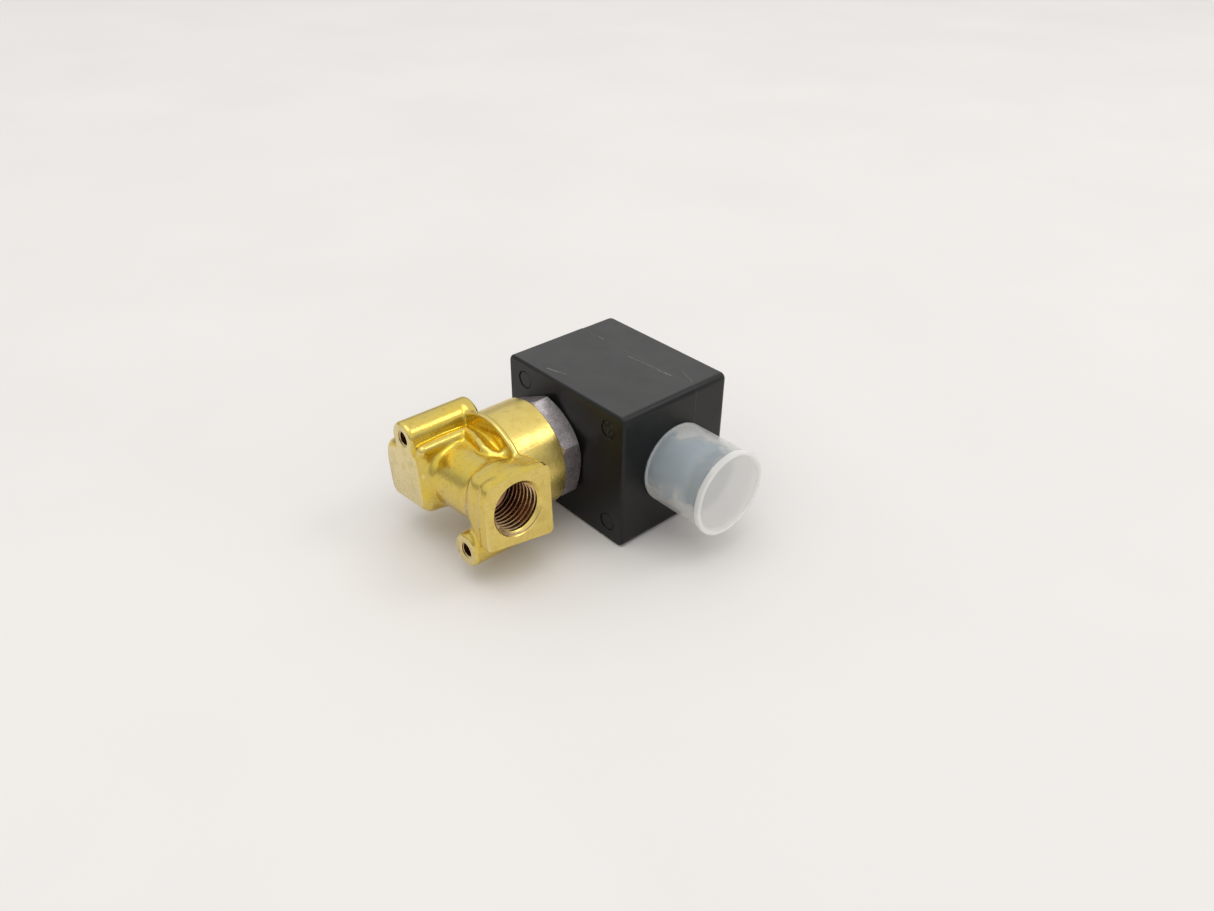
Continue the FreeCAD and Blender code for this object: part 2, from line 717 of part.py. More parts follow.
def rear_cover():
    """Second moulding, which closes the coil at the nut's end."""
    body = doc.addObject("PartDesign::Body", "rear_cover_body")
    length = coil_end() - c.coil_split
    pad(body, "cover_block", block_outline(body, "cover_outline", c.coil_split), length)
    round_edges(body, "cover_long_edges", c.coil_edge, is_long_edge)
    round_edges(body, "cover_end_edges", c.coil_edge, is_on_end(sheet.coil_start + sheet.coil_length, 12))
    room = cavity_outline(body, "cover_room_outline", c.coil_split)
    pocket(body, "cover_room", room, length - c.coil_wall, True)
    bore = ring_sketch(body, "cover_bore_circle", "YZ_Plane", (0, 0), [c.coil_bore], coil_end())
    pocket(body, "cover_bore", bore, c.coil_wall + 1)
    groove_circles = [c.rear_seal_radius + c.seal_section, c.rear_seal_radius - c.seal_section]
    groove = ring_sketch(body, "cover_groove_circles", "YZ_Plane", (0, 0), groove_circles, coil_end())
    pocket(body, "cover_groove", groove, c.seal_section * 2)
    flange = ring_sketch(body, "cover_flange_circle", "XZ_Plane", (c.connector_pitch, 0),
                         [c.shell_flange], c.coil_front)
    pocket(body, "cover_flange", flange, c.shell_root)
    shell = ring_sketch(body, "cover_shell_circle", "XZ_Plane", (c.connector_pitch, 0),
                        [c.shell_bore], c.coil_front)
    pocket(body, "cover_shell", shell, c.insulator_root)
    return keep(body, "rear_cover", ALONG_TUBE)


def yoke_frame():
    """Steel strip bent to a frame, with a hole for a flux bush in each end plate."""
    body = doc.addObject("PartDesign::Body", "yoke_frame_body")
    start = c.coil_start + c.coil_wall
    end = coil_end() - c.coil_wall
    outer = [(start, -c.yoke_half), (end, -c.yoke_half), (end, c.yoke_half), (start, c.yoke_half)]
    sketch = outline(body, "yoke_outline", "XZ_Plane", outer, -c.yoke_reach)
    pad(body, "yoke_block", sketch, c.yoke_reach * 2)
    low, high = start + c.yoke_thick, end - c.yoke_thick
    half = c.yoke_half - c.yoke_thick
    inner = [(low, -half), (high, -half), (high, half), (low, half)]
    window = outline(body, "yoke_window_outline", "XZ_Plane", inner, c.yoke_reach)
    pocket(body, "yoke_window", window, c.yoke_reach * 2)
    hole = ring_sketch(body, "yoke_hole_circle", "YZ_Plane", (0, 0), [c.bush_radius], end)
    pocket(body, "yoke_holes", hole, c.coil_length)
    return keep(body, "yoke_frame", ALONG_TUBE)


def flux_bush(label, start):
    """Steel sleeve that carries the field from a yoke plate to the tube."""
    inside = c.tube_radius + c.running_gap
    end = start + c.bush_length
    return turned(label, ALONG_TUBE, [
        (start, inside), (start, c.bush_radius), (end, c.bush_radius), (end, inside),
    ])


def bobbin():
    """Plastic bobbin between the yoke's end plates."""
    start = c.coil_start + c.coil_wall + c.yoke_thick
    end = coil_end() - c.coil_wall - c.yoke_thick
    bush_in = c.bush_length - c.yoke_thick
    bore = c.tube_radius + c.running_gap
    return turned("bobbin", ALONG_TUBE, [
        (start, c.bush_radius),
        (start, c.bobbin_flange),
        (start + c.bobbin_thick, c.bobbin_flange),
        (start + c.bobbin_thick, c.bobbin_radius),
        (end - c.bobbin_thick, c.bobbin_radius),
        (end - c.bobbin_thick, c.bobbin_flange),
        (end, c.bobbin_flange),
        (end, c.bush_radius),
        (end - bush_in, c.bush_radius),
        (end - bush_in, bore),
        (start + bush_in, bore),
        (start + bush_in, c.bush_radius),
    ])


def winding():
    """Copper winding on the bobbin."""
    start = c.coil_start + c.coil_wall + c.yoke_thick + c.bobbin_thick
    end = coil_end() - c.coil_wall - c.yoke_thick - c.bobbin_thick
    outside = c.bobbin_flange - c.winding_inset
    return turned("winding", ALONG_TUBE, [
        (start, c.bobbin_radius), (start, outside), (end, outside), (end, c.bobbin_radius),
    ])


def spring_washer():
    """Washer between the rear sealing ring and the coil nut."""
    start = coil_end() + c.end_gap
    end = start + c.washer_thick
    bore = c.stud_radius + c.washer_slack
    return turned("spring_washer", TURNED_BY_ROLL, [
        (start, bore), (start, c.washer_radius), (end, c.washer_radius), (end, bore),
    ])


def coil_nut():
    """Hexagon nut on the core's stud, chamfered on its outer face."""
    start = coil_end() + c.washer_thick + c.end_gap
    blank = prism("nut_hexagon", c.nut_flats, c.nut_height, start)
    chamfer = chamfer_cone("nut_chamfer", c.nut_flats, c.nut_height, start)
    shaped = doc.addObject("Part::Common", "nut_shaped")
    shaped.Base = blank
    shaped.Tool = chamfer
    bore = cylinder("nut_bore", c.stud_radius, c.nut_height, (start, 0, 0), TUBEWARD)
    return keep(cut("nut_bored", shaped, bore), "coil_nut", TURNED_BY_ROLL)


# ---------------------------------------------------------------- connector and cap

def connector_shell():
    """Zinc-plated spigot with an outside thread, held in the coil by its flange."""
    root = -c.shell_root
    relief = c.shell_radius - c.shell_relief
    return turned("connector_shell", CONNECTOR, [
        (root, c.shell_bore),
        (root, c.shell_flange),
        (0, c.shell_flange),
        (0, relief),
        (c.relief_length, relief),
        (c.relief_length + c.shell_relief, c.shell_radius),
        (c.shell_length - c.shell_relief, c.shell_radius),
        (c.shell_length, relief),
        (c.shell_length, c.shell_bore),
    ])


def contact_places():
    """Return the four contacts' places across the connector."""
    reach = c.contact_circle
    return [(reach, 0), (-reach, 0), (0, reach), (0, -reach)]


def connector_insulator():
    """Plastic disc that holds the contacts inside the shell."""
    body = doc.addObject("PartDesign::Body", "connector_insulator_body")
    disc = ring_sketch(body, "insulator_circle", "YZ_Plane", (0, 0), [c.shell_bore], -c.insulator_root)
    pad(body, "insulator_disc", disc, c.insulator_root + c.insulator_front)
    for number, place_across in enumerate(contact_places(), start=1):
        hole = ring_sketch(body, "contact_hole_circle_%d" % number, "YZ_Plane", place_across,
                           [c.contact_radius], c.insulator_front)
        pocket(body, "contact_hole_%d" % number, hole, c.insulator_root + c.insulator_front)
    return keep(body, "connector_insulator", CONNECTOR)


def rods(label, places, radius, start, end):
    """Make one group of equal rods that run out of the coil along the connector's axis."""
    made = []
    for number, (across, up) in enumerate(places, start=1):
        rod = cylinder("%s_%d" % (label, number), radius, end - start, (start, across, up), TUBEWARD)
        made.append(rod)
    group = doc.addObject("Part::Compound", label + "_group")
    group.Links = made
    doc.recompute()
    return keep(group, label, CONNECTOR)


def earth_strap():
    """Bent strip from the upper contact to the yoke's upper plate."""
    thick = c.strap_thick
    left = c.connector_pitch - c.strap_width * 0.5
    back = c.coil_front - c.insulator_root
    foot = c.yoke_reach - c.strap_inset
    rise = c.yoke_half - c.yoke_thick - c.contact_circle
    leg_sizes = (c.strap_width, back - foot + thick, thick)
    leg = box("strap_leg", leg_sizes, (left, -back, c.contact_circle))
    upright = box("strap_upright", (c.strap_width, thick, rise), (left, -foot, c.contact_circle))
    return keep(fuse("strap_joined", [leg, upright]), "earth_strap", ALONG_TUBE)


def protective_cap():
    """Soft push-on cap with a flange and a shallow recess in its end."""
    end = c.cap_length + c.cap_end
    recess = end - c.cap_recess
    rim = c.cap_flange - c.cap_rim
    return turned("protective_cap", CONNECTOR, [
        (c.cap_gap, c.cap_bore),
        (c.cap_gap, c.cap_radius),
        (c.cap_length, c.cap_radius),
        (c.cap_length, c.cap_flange),
        (end, c.cap_flange),
        (end, rim),
        (recess, rim - c.cap_slope),
        (recess, 0),
        (c.cap_length, 0),
        (c.cap_length, c.cap_bore),
    ])


# ---------------------------------------------------------------- assembly

valve_body()
bonnet_nut()
ring("bonnet_o_ring", TURNED_BY_ROLL, c.ledge + c.ring_section, c.flange_radius + 0.9, c.ring_section)
armature_tube()
fixed_core()
shading_ring()
armature()
seat_seal()
guide_ring()
return_spring()
coil_housing()
rear_cover()
yoke_frame()
flux_bush("front_flux_bush", c.coil_start + c.coil_wall)
flux_bush("rear_flux_bush", coil_end() - c.coil_wall - c.bush_length)
bobbin()
winding()
front_seal_middle = c.coil_start + c.seal_section - c.end_gap
ring("front_coil_seal", ALONG_TUBE, front_seal_middle, c.front_seal_radius, c.seal_section)
ring("rear_coil_seal", ALONG_TUBE, coil_end() - c.seal_section, c.rear_seal_radius, c.seal_section)
spring_washer()
coil_nut()
connector_shell()
connector_insulator()
rods("contact_pins", contact_places(), c.contact_radius, -c.insulator_root, c.contact_front)
winding_reach = c.bobbin_flange - c.winding_inset - c.coil_front
rods("winding_leads", contact_places()[:2], c.lead_radius, winding_reach, -c.insulator_root)
earth_strap()
ring("connector_face_seal", CONNECTOR, c.insulator_front + c.face_seal_section,
     c.face_seal_radius, c.face_seal_section)
protective_cap()
doc.recompute()

for thing in doc.Objects:
    if "Invalid" in thing.State or "Error" in thing.State:
        raise RuntimeError("%s failed: %s" % (thing.Name, thing.State))
os.makedirs("parts", exist_ok=True)
for part in subparts:
    if part.Shape.isNull() or not part.Shape.isValid():
        raise RuntimeError("%s has no valid shape" % part.Label)
    print("%-20s %2d solids %10.1f mm3" % (part.Label, len(part.Shape.Solids), part.Shape.Volume))
    part.Shape.exportStep(os.path.join("parts", part.Label + ".step"))
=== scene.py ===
import json
import math

import bmesh
import bpy
import numpy as np
from mathutils import Matrix, Vector, noise


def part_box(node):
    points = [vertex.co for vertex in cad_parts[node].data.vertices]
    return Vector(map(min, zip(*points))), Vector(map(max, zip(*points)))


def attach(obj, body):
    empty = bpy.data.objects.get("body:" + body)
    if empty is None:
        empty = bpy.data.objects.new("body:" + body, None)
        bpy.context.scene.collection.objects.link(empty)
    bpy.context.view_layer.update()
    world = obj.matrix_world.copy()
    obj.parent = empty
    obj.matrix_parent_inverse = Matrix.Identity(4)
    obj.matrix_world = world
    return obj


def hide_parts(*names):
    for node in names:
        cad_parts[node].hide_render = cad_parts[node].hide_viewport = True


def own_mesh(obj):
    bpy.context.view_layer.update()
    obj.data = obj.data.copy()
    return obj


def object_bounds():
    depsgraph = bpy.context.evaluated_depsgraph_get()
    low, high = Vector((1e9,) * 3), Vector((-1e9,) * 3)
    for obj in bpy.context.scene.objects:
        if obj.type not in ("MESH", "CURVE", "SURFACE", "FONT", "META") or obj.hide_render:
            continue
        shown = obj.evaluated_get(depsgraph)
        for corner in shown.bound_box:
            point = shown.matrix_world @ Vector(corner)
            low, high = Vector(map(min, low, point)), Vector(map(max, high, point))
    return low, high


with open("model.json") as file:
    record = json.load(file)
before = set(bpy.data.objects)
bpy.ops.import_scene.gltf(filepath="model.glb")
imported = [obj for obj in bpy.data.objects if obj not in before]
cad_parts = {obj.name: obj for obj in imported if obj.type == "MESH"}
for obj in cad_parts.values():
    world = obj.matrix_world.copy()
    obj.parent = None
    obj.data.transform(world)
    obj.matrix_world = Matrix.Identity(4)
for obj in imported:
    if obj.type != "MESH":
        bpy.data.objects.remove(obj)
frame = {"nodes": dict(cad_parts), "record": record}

cad_low, cad_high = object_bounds()

# A two-port solenoid valve lying on its side. Lengths in this script are millimetres in the frame
# that the CAD model uses (+X along the tube to the coil nut, -Y to the front port and connector,
# +Z up), and MM turns them into metres when a mesh is made.
MM = 0.001
ORIGIN = (0, 0, 0)
TUBEWARD = (1, 0, 0)
FORWARD = (0, -1, 0)


def node_box(name):
    """Return a CAD node's lowest and highest corners in millimetres."""
    low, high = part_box(name)
    return np.array(low) / MM, np.array(high) / MM


def span(name, axis=0):
    """Return where a CAD node starts and ends along an axis, in millimetres."""
    low, high = node_box(name)
    return low[axis], high[axis]


def mount(name):
    """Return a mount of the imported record."""
    return next(m for m in frame["record"]["mounts"] if m["name"] == name)


# ------------ driving dimensions

front_port = mount("front_port")
ROLL = math.atan2(-front_port["axis"][2], -front_port["axis"][1])  # turn of the brass body about the tube
PORT_X = front_port["pos_m"][0] / MM
PORT_FACE = 19.7  # tube axis to each port face
HOLE_OFFSET = mount("mounting_holes")["dims"]["pcd_mm"] / math.sqrt(8)

coil_low, coil_high = node_box("coil_housing")
cover_low, cover_high = node_box("rear_cover")
cap_low, cap_high = node_box("protective_cap")
spring_low, spring_high = node_box("return_spring")

CONNECTOR_X = (cap_low[0] + cap_high[0]) / 2
COIL_FRONT = coil_low[1]
COIL_START, COIL_SPLIT = coil_low[0], coil_high[0]
NECK_RADIUS = 13.7
NECK_END = 28.6
STEPS = 96  # segments round a turned piece


# ------------ mesh helpers

def new_object(name, data):
    """Put an object that shows some data into the scene."""
    made = bpy.data.objects.new(name, data)
    bpy.context.scene.collection.objects.link(made)
    return made


def new_mesh(name, points, faces, materials):
    """Make a mesh object from points in millimetres."""
    mesh = bpy.data.meshes.new(name)
    mesh.from_pydata([tuple(p) for p in np.asarray(points) * MM], [], faces)
    mesh.update()
    for material in materials:
        mesh.materials.append(material)
    return new_object(name, mesh)


def outward(piece):
    """Make a closed mesh's faces point outwards and join its doubled points."""
    made = bmesh.new()
    made.from_mesh(piece.data)
    bmesh.ops.remove_doubles(made, verts=made.verts, dist=1e-8)
    bmesh.ops.recalc_face_normals(made, faces=made.faces)
    made.to_mesh(piece.data)
    made.free()
    return piece


def stand_for(piece, node, body):
    """Let a piece ride on a CAD body and stand for a CAD node."""
    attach(piece, body)
    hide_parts(node)
    return outward(piece)


def new_piece(name, points, faces, node, body, slot, materials=None):
    """Make a piece from points in millimetres that stands for a CAD node."""
    return stand_for(new_mesh(name, points, faces, materials or [finishes[slot]]), node, body)


def copy_of(node, name, body):
    """Make a piece that starts as a CAD node's shape and stands for it."""
    return stand_for(new_object(name, frame["nodes"][node].data.copy()), node, body)


FLAT_AREA = 6.0  # faces in one plane are a flat face where they cover this many square millimetres,
FLAT_SHARE = 0.15  # and this share of their diagonal's square, which a round wall's long faces don't


def shade(piece, angle):
    """Shade a piece smooth, with crisp edges over an angle and with flat faces that stay flat."""
    mesh = piece.data
    if mesh.has_custom_normals:
        mesh.attributes.remove(mesh.attributes["custom_normal"])
    mesh.shade_smooth()
    mesh.set_sharp_from_angle(angle=math.radians(angle))
    planes = [
        tuple(round(v, 3) for v in polygon.normal) + (round(polygon.normal.dot(polygon.center) / MM, 2),)
        for polygon in mesh.polygons
    ]
    areas, outlines = {}, {}
    for polygon, plane in zip(mesh.polygons, planes):
        areas[plane] = areas.get(plane, 0) + polygon.area / MM ** 2
        outlines.setdefault(plane, []).extend(mesh.vertices[vertex].co / MM for vertex in polygon.vertices)
    flat = set()
    for plane, points in outlines.items():
        if areas[plane] > FLAT_AREA:
            across = np.ptp(points, axis=0)
            if areas[plane] > FLAT_SHARE * (across @ across):
                flat.add(plane)
    flats_at = {}
    for polygon, plane in zip(mesh.polygons, planes):
        if plane in flat:
            for vertex in polygon.vertices:
                flats_at.setdefault(vertex, {})[plane] = polygon.normal.copy()
    normals = [item.vector.copy() for item in mesh.corner_normals]
    limit = math.cos(math.radians(angle))
    for polygon, plane in zip(mesh.polygons, planes):
        for loop in polygon.loop_indices:
            beside = flats_at.get(mesh.loops[loop].vertex_index)
            if beside is None:
                continue
            nearest = beside.get(plane, max(beside.values(), key=polygon.normal.dot))
            if plane in beside or nearest.dot(polygon.normal) > limit:
                normals[loop] = nearest
    mesh.normals_split_custom_set(normals)


def combine(piece, other, operation):
    """Join, cut or trim a piece with another one, which is then removed."""
    modifier = piece.modifiers.new("combine", "BOOLEAN")
    modifier.operation = operation
    modifier.solver = "MANIFOLD"
    modifier.object = other
    bpy.context.view_layer.update()
    view = bpy.context.evaluated_depsgraph_get()
    made = bpy.data.meshes.new_from_object(piece.evaluated_get(view))
    piece.modifiers.clear()
    spent = piece.data, other.data
    piece.data = made
    bpy.data.objects.remove(other)
    for mesh in spent:
        bpy.data.meshes.remove(mesh)


def cutter(piece, points, faces, index=0):
    """Make a closed mesh with a piece's own materials, which only cuts or joins."""
    made = new_mesh("tool", points, faces, piece.data.materials)
    for polygon in made.data.polygons:
        polygon.material_index = index
    return outward(made)


def cut(piece, points, faces, index=0, operation="DIFFERENCE"):
    """Cut a piece with a closed mesh, or join or trim it. The new faces take the material at an index."""
    combine(piece, cutter(piece, points, faces, index), operation)


def lathe(piece, outline, start=ORIGIN, direction=TUBEWARD, index=0, operation="DIFFERENCE",
          steps=STEPS):
    """Cut a piece with an outline turned about a line, or join or trim it."""
    cut(piece, *revolve(outline, start, direction, steps), index, operation)


def axes(origin, direction):
    """Return a line's start, its direction and two directions across it, all at right angles."""
    along = np.array(direction, float)
    u = np.cross((0, 0, 1) if abs(along[2]) < 0.9 else (0, 1, 0), along)
    u /= np.linalg.norm(u)
    return np.array(origin, float), along, u, np.cross(along, u)


def revolve(outline, origin=ORIGIN, direction=TUBEWARD, steps=STEPS):
    """Turn an outline of (station, radius) pairs about a line. A radius of 0 is a point."""
    start, along, u, v = axes(origin, direction)
    points, rings, faces = [], [], []
    for station, radius in outline:
        count = steps if radius > 0 else 1
        rings.append(range(len(points), len(points) + count))
        for i in range(count):
            a = 2 * math.pi * i / steps
            points.append(start + along * station + (u * math.cos(a) + v * math.sin(a)) * radius)
    closed = len(rings[0]) > 1
    pairs = list(zip(rings, rings[1:])) + ([(rings[-1], rings[0])] if closed else [])
    for near, far in pairs:
        for i in range(steps):
            j = (i + 1) % steps
            corners = [near[i % len(near)], near[j % len(near)], far[j % len(far)], far[i % len(far)]]
            face = list(dict.fromkeys(corners))
            if len(face) > 2:
                faces.append(face)
    return points, faces


THREAD_SHAPE = ((0.0, 0.0), (0.13, 0.0), (0.44, 1.0), (0.56, 1.0), (0.87, 0.0))  # one pitch: station, height


def threaded_rod(minor, major, pitch, length, origin, direction):
    """Make a closed screw whose rows of points follow the helix, so that its crests are crisp."""
    start, along, u, v = axes(origin, direction)
    per_pitch, steps = len(THREAD_SHAPE), STEPS
    turns = max(1, round(length / pitch))
    rows = per_pitch * turns
    points, index = [], {}
    for row in range(rows + per_pitch + 1):
        station, height = THREAD_SHAPE[row % per_pitch]
        base = (row // per_pitch + station) * pitch
        radius = minor + (major - minor) * height
        for i in range(steps if row <= rows else 1):
            a = 2 * math.pi * i / steps
            index[row, i] = len(points)
            place = start + along * (base + pitch * i / steps)
            points.append(place + (u * math.cos(a) + v * math.sin(a)) * radius)

    def at(row, i):
        """A row's last point is the first one a whole pitch further on."""
        return index[row, i] if i < steps else index[row + per_pitch, 0]

    faces = [
        [at(row, i), at(row, i + 1), at(row + 1, i + 1), at(row + 1, i)]
        for row in range(rows) for i in range(steps)
    ]
    for row, centre in ((0, 0.5), (rows, turns + 0.5)):
        ring = [at(row, i) for i in range(steps)] + [at(row + r, 0) for r in range(per_pitch, 0, -1)]
        faces += [[len(points), ring[i - 1], ring[i]] for i in range(len(ring))]
        points.append(start + along * centre * pitch)
    return points, faces


def cut_outside_thread(piece, minor, major, pitch, origin, direction, length):
    """Cut a screw thread into the outside of a round piece."""
    inner, outer = minor - 0.4, major + 3.0
    outline = [(0, inner), (0, outer), (length, outer), (length, inner)]
    sleeve = cutter(piece, *revolve(outline, origin, direction))
    start = np.array(origin) - np.array(direction) * pitch
    cut(sleeve, *threaded_rod(minor, major + 0.01, pitch, length + 2 * pitch, start, direction))
    combine(piece, outward(sleeve), "DIFFERENCE")


def block(low, high):
    """Make a plain box for cutting."""
    corners = [(x, y, z) for x in (low[0], high[0]) for y in (low[1], high[1]) for z in (low[2], high[2])]
    faces = [(0, 1, 3, 2), (4, 6, 7, 5), (0, 4, 5, 1), (2, 3, 7, 6), (0, 2, 6, 4), (1, 5, 7, 3)]
    return corners, faces


def rolled(piece):
    """Turn a piece made in the brass body's own frame to where the body stands."""
    piece.data.transform(Matrix.Rotation(ROLL, 4, "X"))


# ------------ rounded solids as distance fields

def soft_join(a, b, width):
    """Join two distance fields with a concave fillet of a given width."""
    h = np.maximum(width - np.abs(a - b), 0) / width
    return np.minimum(a, b) - h * h * width * 0.25


def soft_common(a, b, width):
    """Keep what two distance fields share, with a rounded edge of a given width."""
    return -soft_join(-a, -b, width)


def slab(values, low, high, width):
    """Keep what lies between two values of a coordinate, with softened ends."""
    return soft_common(low - values, values - high, width)


def rod(p, start, end, radius, edge):
    """A round bar between two points with rounded ends."""
    a, b = np.array(start, float), np.array(end, float)
    length = np.linalg.norm(b - a)
    along = (b - a) / length
    offset = p - a
    station = offset @ along
    away = np.linalg.norm(offset - station[:, None] * along, axis=1)
    middle = np.abs(station - length / 2) - length / 2 + edge
    side = away - radius + edge
    outside = np.hypot(np.maximum(middle, 0), np.maximum(side, 0))
    return outside + np.minimum(np.maximum(middle, side), 0) - edge


def prism(first, second, corners, edge):
    """A convex outline in two coordinates, given clockwise or not, with rounded corners."""
    centre = np.mean(corners, axis=0)
    field = -np.inf
    for (a, b), (c, d) in zip(corners, corners[1:] + corners[:1]):
        normal = np.array((d - b, a - c)) / math.hypot(c - a, d - b)
        if normal @ (centre - (a, b)) > 0:
            normal = -normal
        side = (first - a) * normal[0] + (second - b) * normal[1]
        field = soft_common(field, side, edge)
    return field


def trail(p, stops):
    """A bead that runs through points, each with its own radius: (x, y, z, radius)."""
    field = np.inf
    for near, far in zip(stops, stops[1:]):
        a, b = np.array(near[:3], float), np.array(far[:3], float)
        span = b - a
        share = np.clip((p - a) @ span / (span @ span), 0, 1)
        away = np.linalg.norm(p - a - share[:, None] * span, axis=1)
        field = np.minimum(field, away - (near[3] + (far[3] - near[3]) * share))
    return field


CORNER_CELLS = np.array([(i, j, k) for i in (0, 1) for j in (0, 1) for k in (0, 1)])
CELL_EDGES = [
    (a, b) for a in range(8) for b in range(a + 1, 8) if np.abs(CORNER_CELLS[a] - CORNER_CELLS[b]).sum() == 1
]
FIELD_BATCHES = 24  # a grid is worked out in this many parts, to save memory
POLISH_ROUNDS = 3  # times that the points are pushed onto the surface
PROBE = 0.01  # distance over which a field's slope is measured


def skin(field_of, low, high, step):
    """Mesh the surface where a distance field is zero, one point to each grid cell that it crosses."""
    lines = [np.arange(a, b + step, step) for a, b in zip(low, high)]
    shape = tuple(len(line) for line in lines)
    grid = np.stack(np.meshgrid(*lines, indexing="ij"), axis=-1).reshape(-1, 3)
    values = np.concatenate([field_of(part) for part in np.array_split(grid, FIELD_BATCHES)]).reshape(shape)
    cells = tuple(n - 1 for n in shape)
    corner = [values[i:i + cells[0], j:j + cells[1], k:k + cells[2]] for i, j, k in CORNER_CELLS]
    count = sum((c < 0).astype(np.int8) for c in corner)
    active = np.argwhere((count > 0) & (count < 8))
    at_corner = np.stack([c[tuple(active.T)] for c in corner], axis=1)
    total = np.zeros((len(active), 3))
    crossings = np.zeros(len(active))
    for a, b in CELL_EDGES:
        va, vb = at_corner[:, a], at_corner[:, b]
        crossed = (va < 0) != (vb < 0)
        share = np.where(crossed, va / np.where(crossed, va - vb, 1), 0)[:, None]
        spot = CORNER_CELLS[a] + share * (CORNER_CELLS[b] - CORNER_CELLS[a])
        total += np.where(crossed[:, None], spot, 0)
        crossings += crossed
    points = np.array(low) + (active + total / crossings[:, None]) * step
    index = np.full(cells, -1)
    index[tuple(active.T)] = np.arange(len(active))
    faces = []
    for axis in range(3):
        inside = np.moveaxis(values < 0, axis, 0)
        near, far = inside[:-1], inside[1:]
        numbers = np.moveaxis(index, axis, 0)
        for flip in (False, True):
            hit = np.argwhere(near > far if flip else near < far)
            kept = (hit[:, 1:] > 0) & (hit[:, 1:] < numbers.shape[1:])
            layer, row, column = hit[kept.all(axis=1)].T
            around = [numbers[layer, row - a, column - b] for a, b in ((1, 1), (0, 1), (0, 0), (1, 0))]
            quads = np.stack(around, axis=1)
            faces.append(quads if flip == (axis != 1) else quads[:, ::-1])
    for _ in range(POLISH_ROUNDS):
        gap = field_of(points)
        slope = np.stack([
            (field_of(points + d) - field_of(points - d)) / (2 * PROBE) for d in np.eye(3) * PROBE
        ], axis=1)
        push = gap / np.maximum((slope ** 2).sum(1), 0.25)
        points -= np.clip(push, -step / 3, step / 3)[:, None] * slope
    return points, np.concatenate(faces).tolist()


# ------------ materials

class Finish:
    """A material under construction: its nodes work on the piece's own coordinates, in metres."""

    def __init__(self, name, **sockets):
        self.material = bpy.data.materials.new(name)
        self.material.use_nodes = True
        self.tree = self.material.node_tree
        self.shader = self.tree.nodes["Principled BSDF"]
        for socket, value in sockets.items():
            self.shader.inputs[socket.replace("_", " ")].default_value = value
        self.place = self.node("TexCoord").outputs["Object"]
        self.normal = None

    def join(self, made, key, value):
        """Link a value to a node's input, or set it there when it isn't a node's output."""
        if isinstance(value, bpy.types.NodeSocket):
            self.tree.links.new(value, made.inputs[key])
        else:
            made.inputs[key].default_value = value

    def node(self, kind, inputs=None, **settings):
        """Add a node, set its properties and join or set its inputs."""
        made = self.tree.nodes.new("ShaderNode" + kind)
        for key, value in settings.items():
            setattr(made, key, value)
        for key, value in (inputs or {}).items():
            self.join(made, key, value)
        return made

    def noise(self, size, detail=3.0, rough=0.5, stretch=None):
        """Return noise whose features are about a size in millimetres across."""
        place = self.place
        if stretch:
            place = self.node("Mapping", {"Vector": place, "Scale": stretch}).outputs[0]
        settings = {"Vector": place, "Scale": 1 / (size * MM), "Detail": detail, "Roughness": rough}
        return self.node("TexNoise", settings).outputs[0]

    def cells(self, size):
        """Return the distance to the nearest of many scattered points."""
        return self.node("TexVoronoi", {"Vector": self.place, "Scale": 1 / (size * MM)}).outputs["Distance"]

    def across(self, letter):
        """Return one of the place's coordinates, in metres."""
        return self.node("SeparateXYZ", {0: self.place}).outputs[letter]

    def range(self, value, low, high, bottom=0.0, top=1.0):
        """Map a value's range to another one."""
        settings = {"Value": value, "From Min": low, "From Max": high, "To Min": bottom, "To Max": top}
        return self.node("MapRange", settings).outputs[0]

    def maths(self, operation, *values):
        """Work out one value from others."""
        return self.node("Math", dict(enumerate(values)), operation=operation).outputs[0]

    def times(self, *values):
        """Multiply two values."""
        return self.maths("MULTIPLY", *values)

    def mix(self, share, first, second):
        """Blend two colours."""
        made = self.node("Mix", {0: share}, data_type="RGBA")
        for key, value in ((6, first), (7, second)):
            self.join(made, key, (*value, 1.0) if isinstance(value, tuple) else value)
        return made.outputs[2]

    def bump(self, height, depth, strength=1.0):
        """Raise the surface by a height, up to a depth in millimetres, over the bumps so far."""
        settings = {"Height": height, "Distance": depth * MM, "Strength": strength}
        if self.normal:
            settings["Normal"] = self.normal
        self.normal = self.node("Bump", settings).outputs[0]

    def done(self, **links):
        """Join the finished values to the shader."""
        if self.normal:
            links["Normal"] = self.normal
        for socket, value in links.items():
            self.tree.links.new(value, self.shader.inputs[socket.replace("_", " ")])
        return self.material


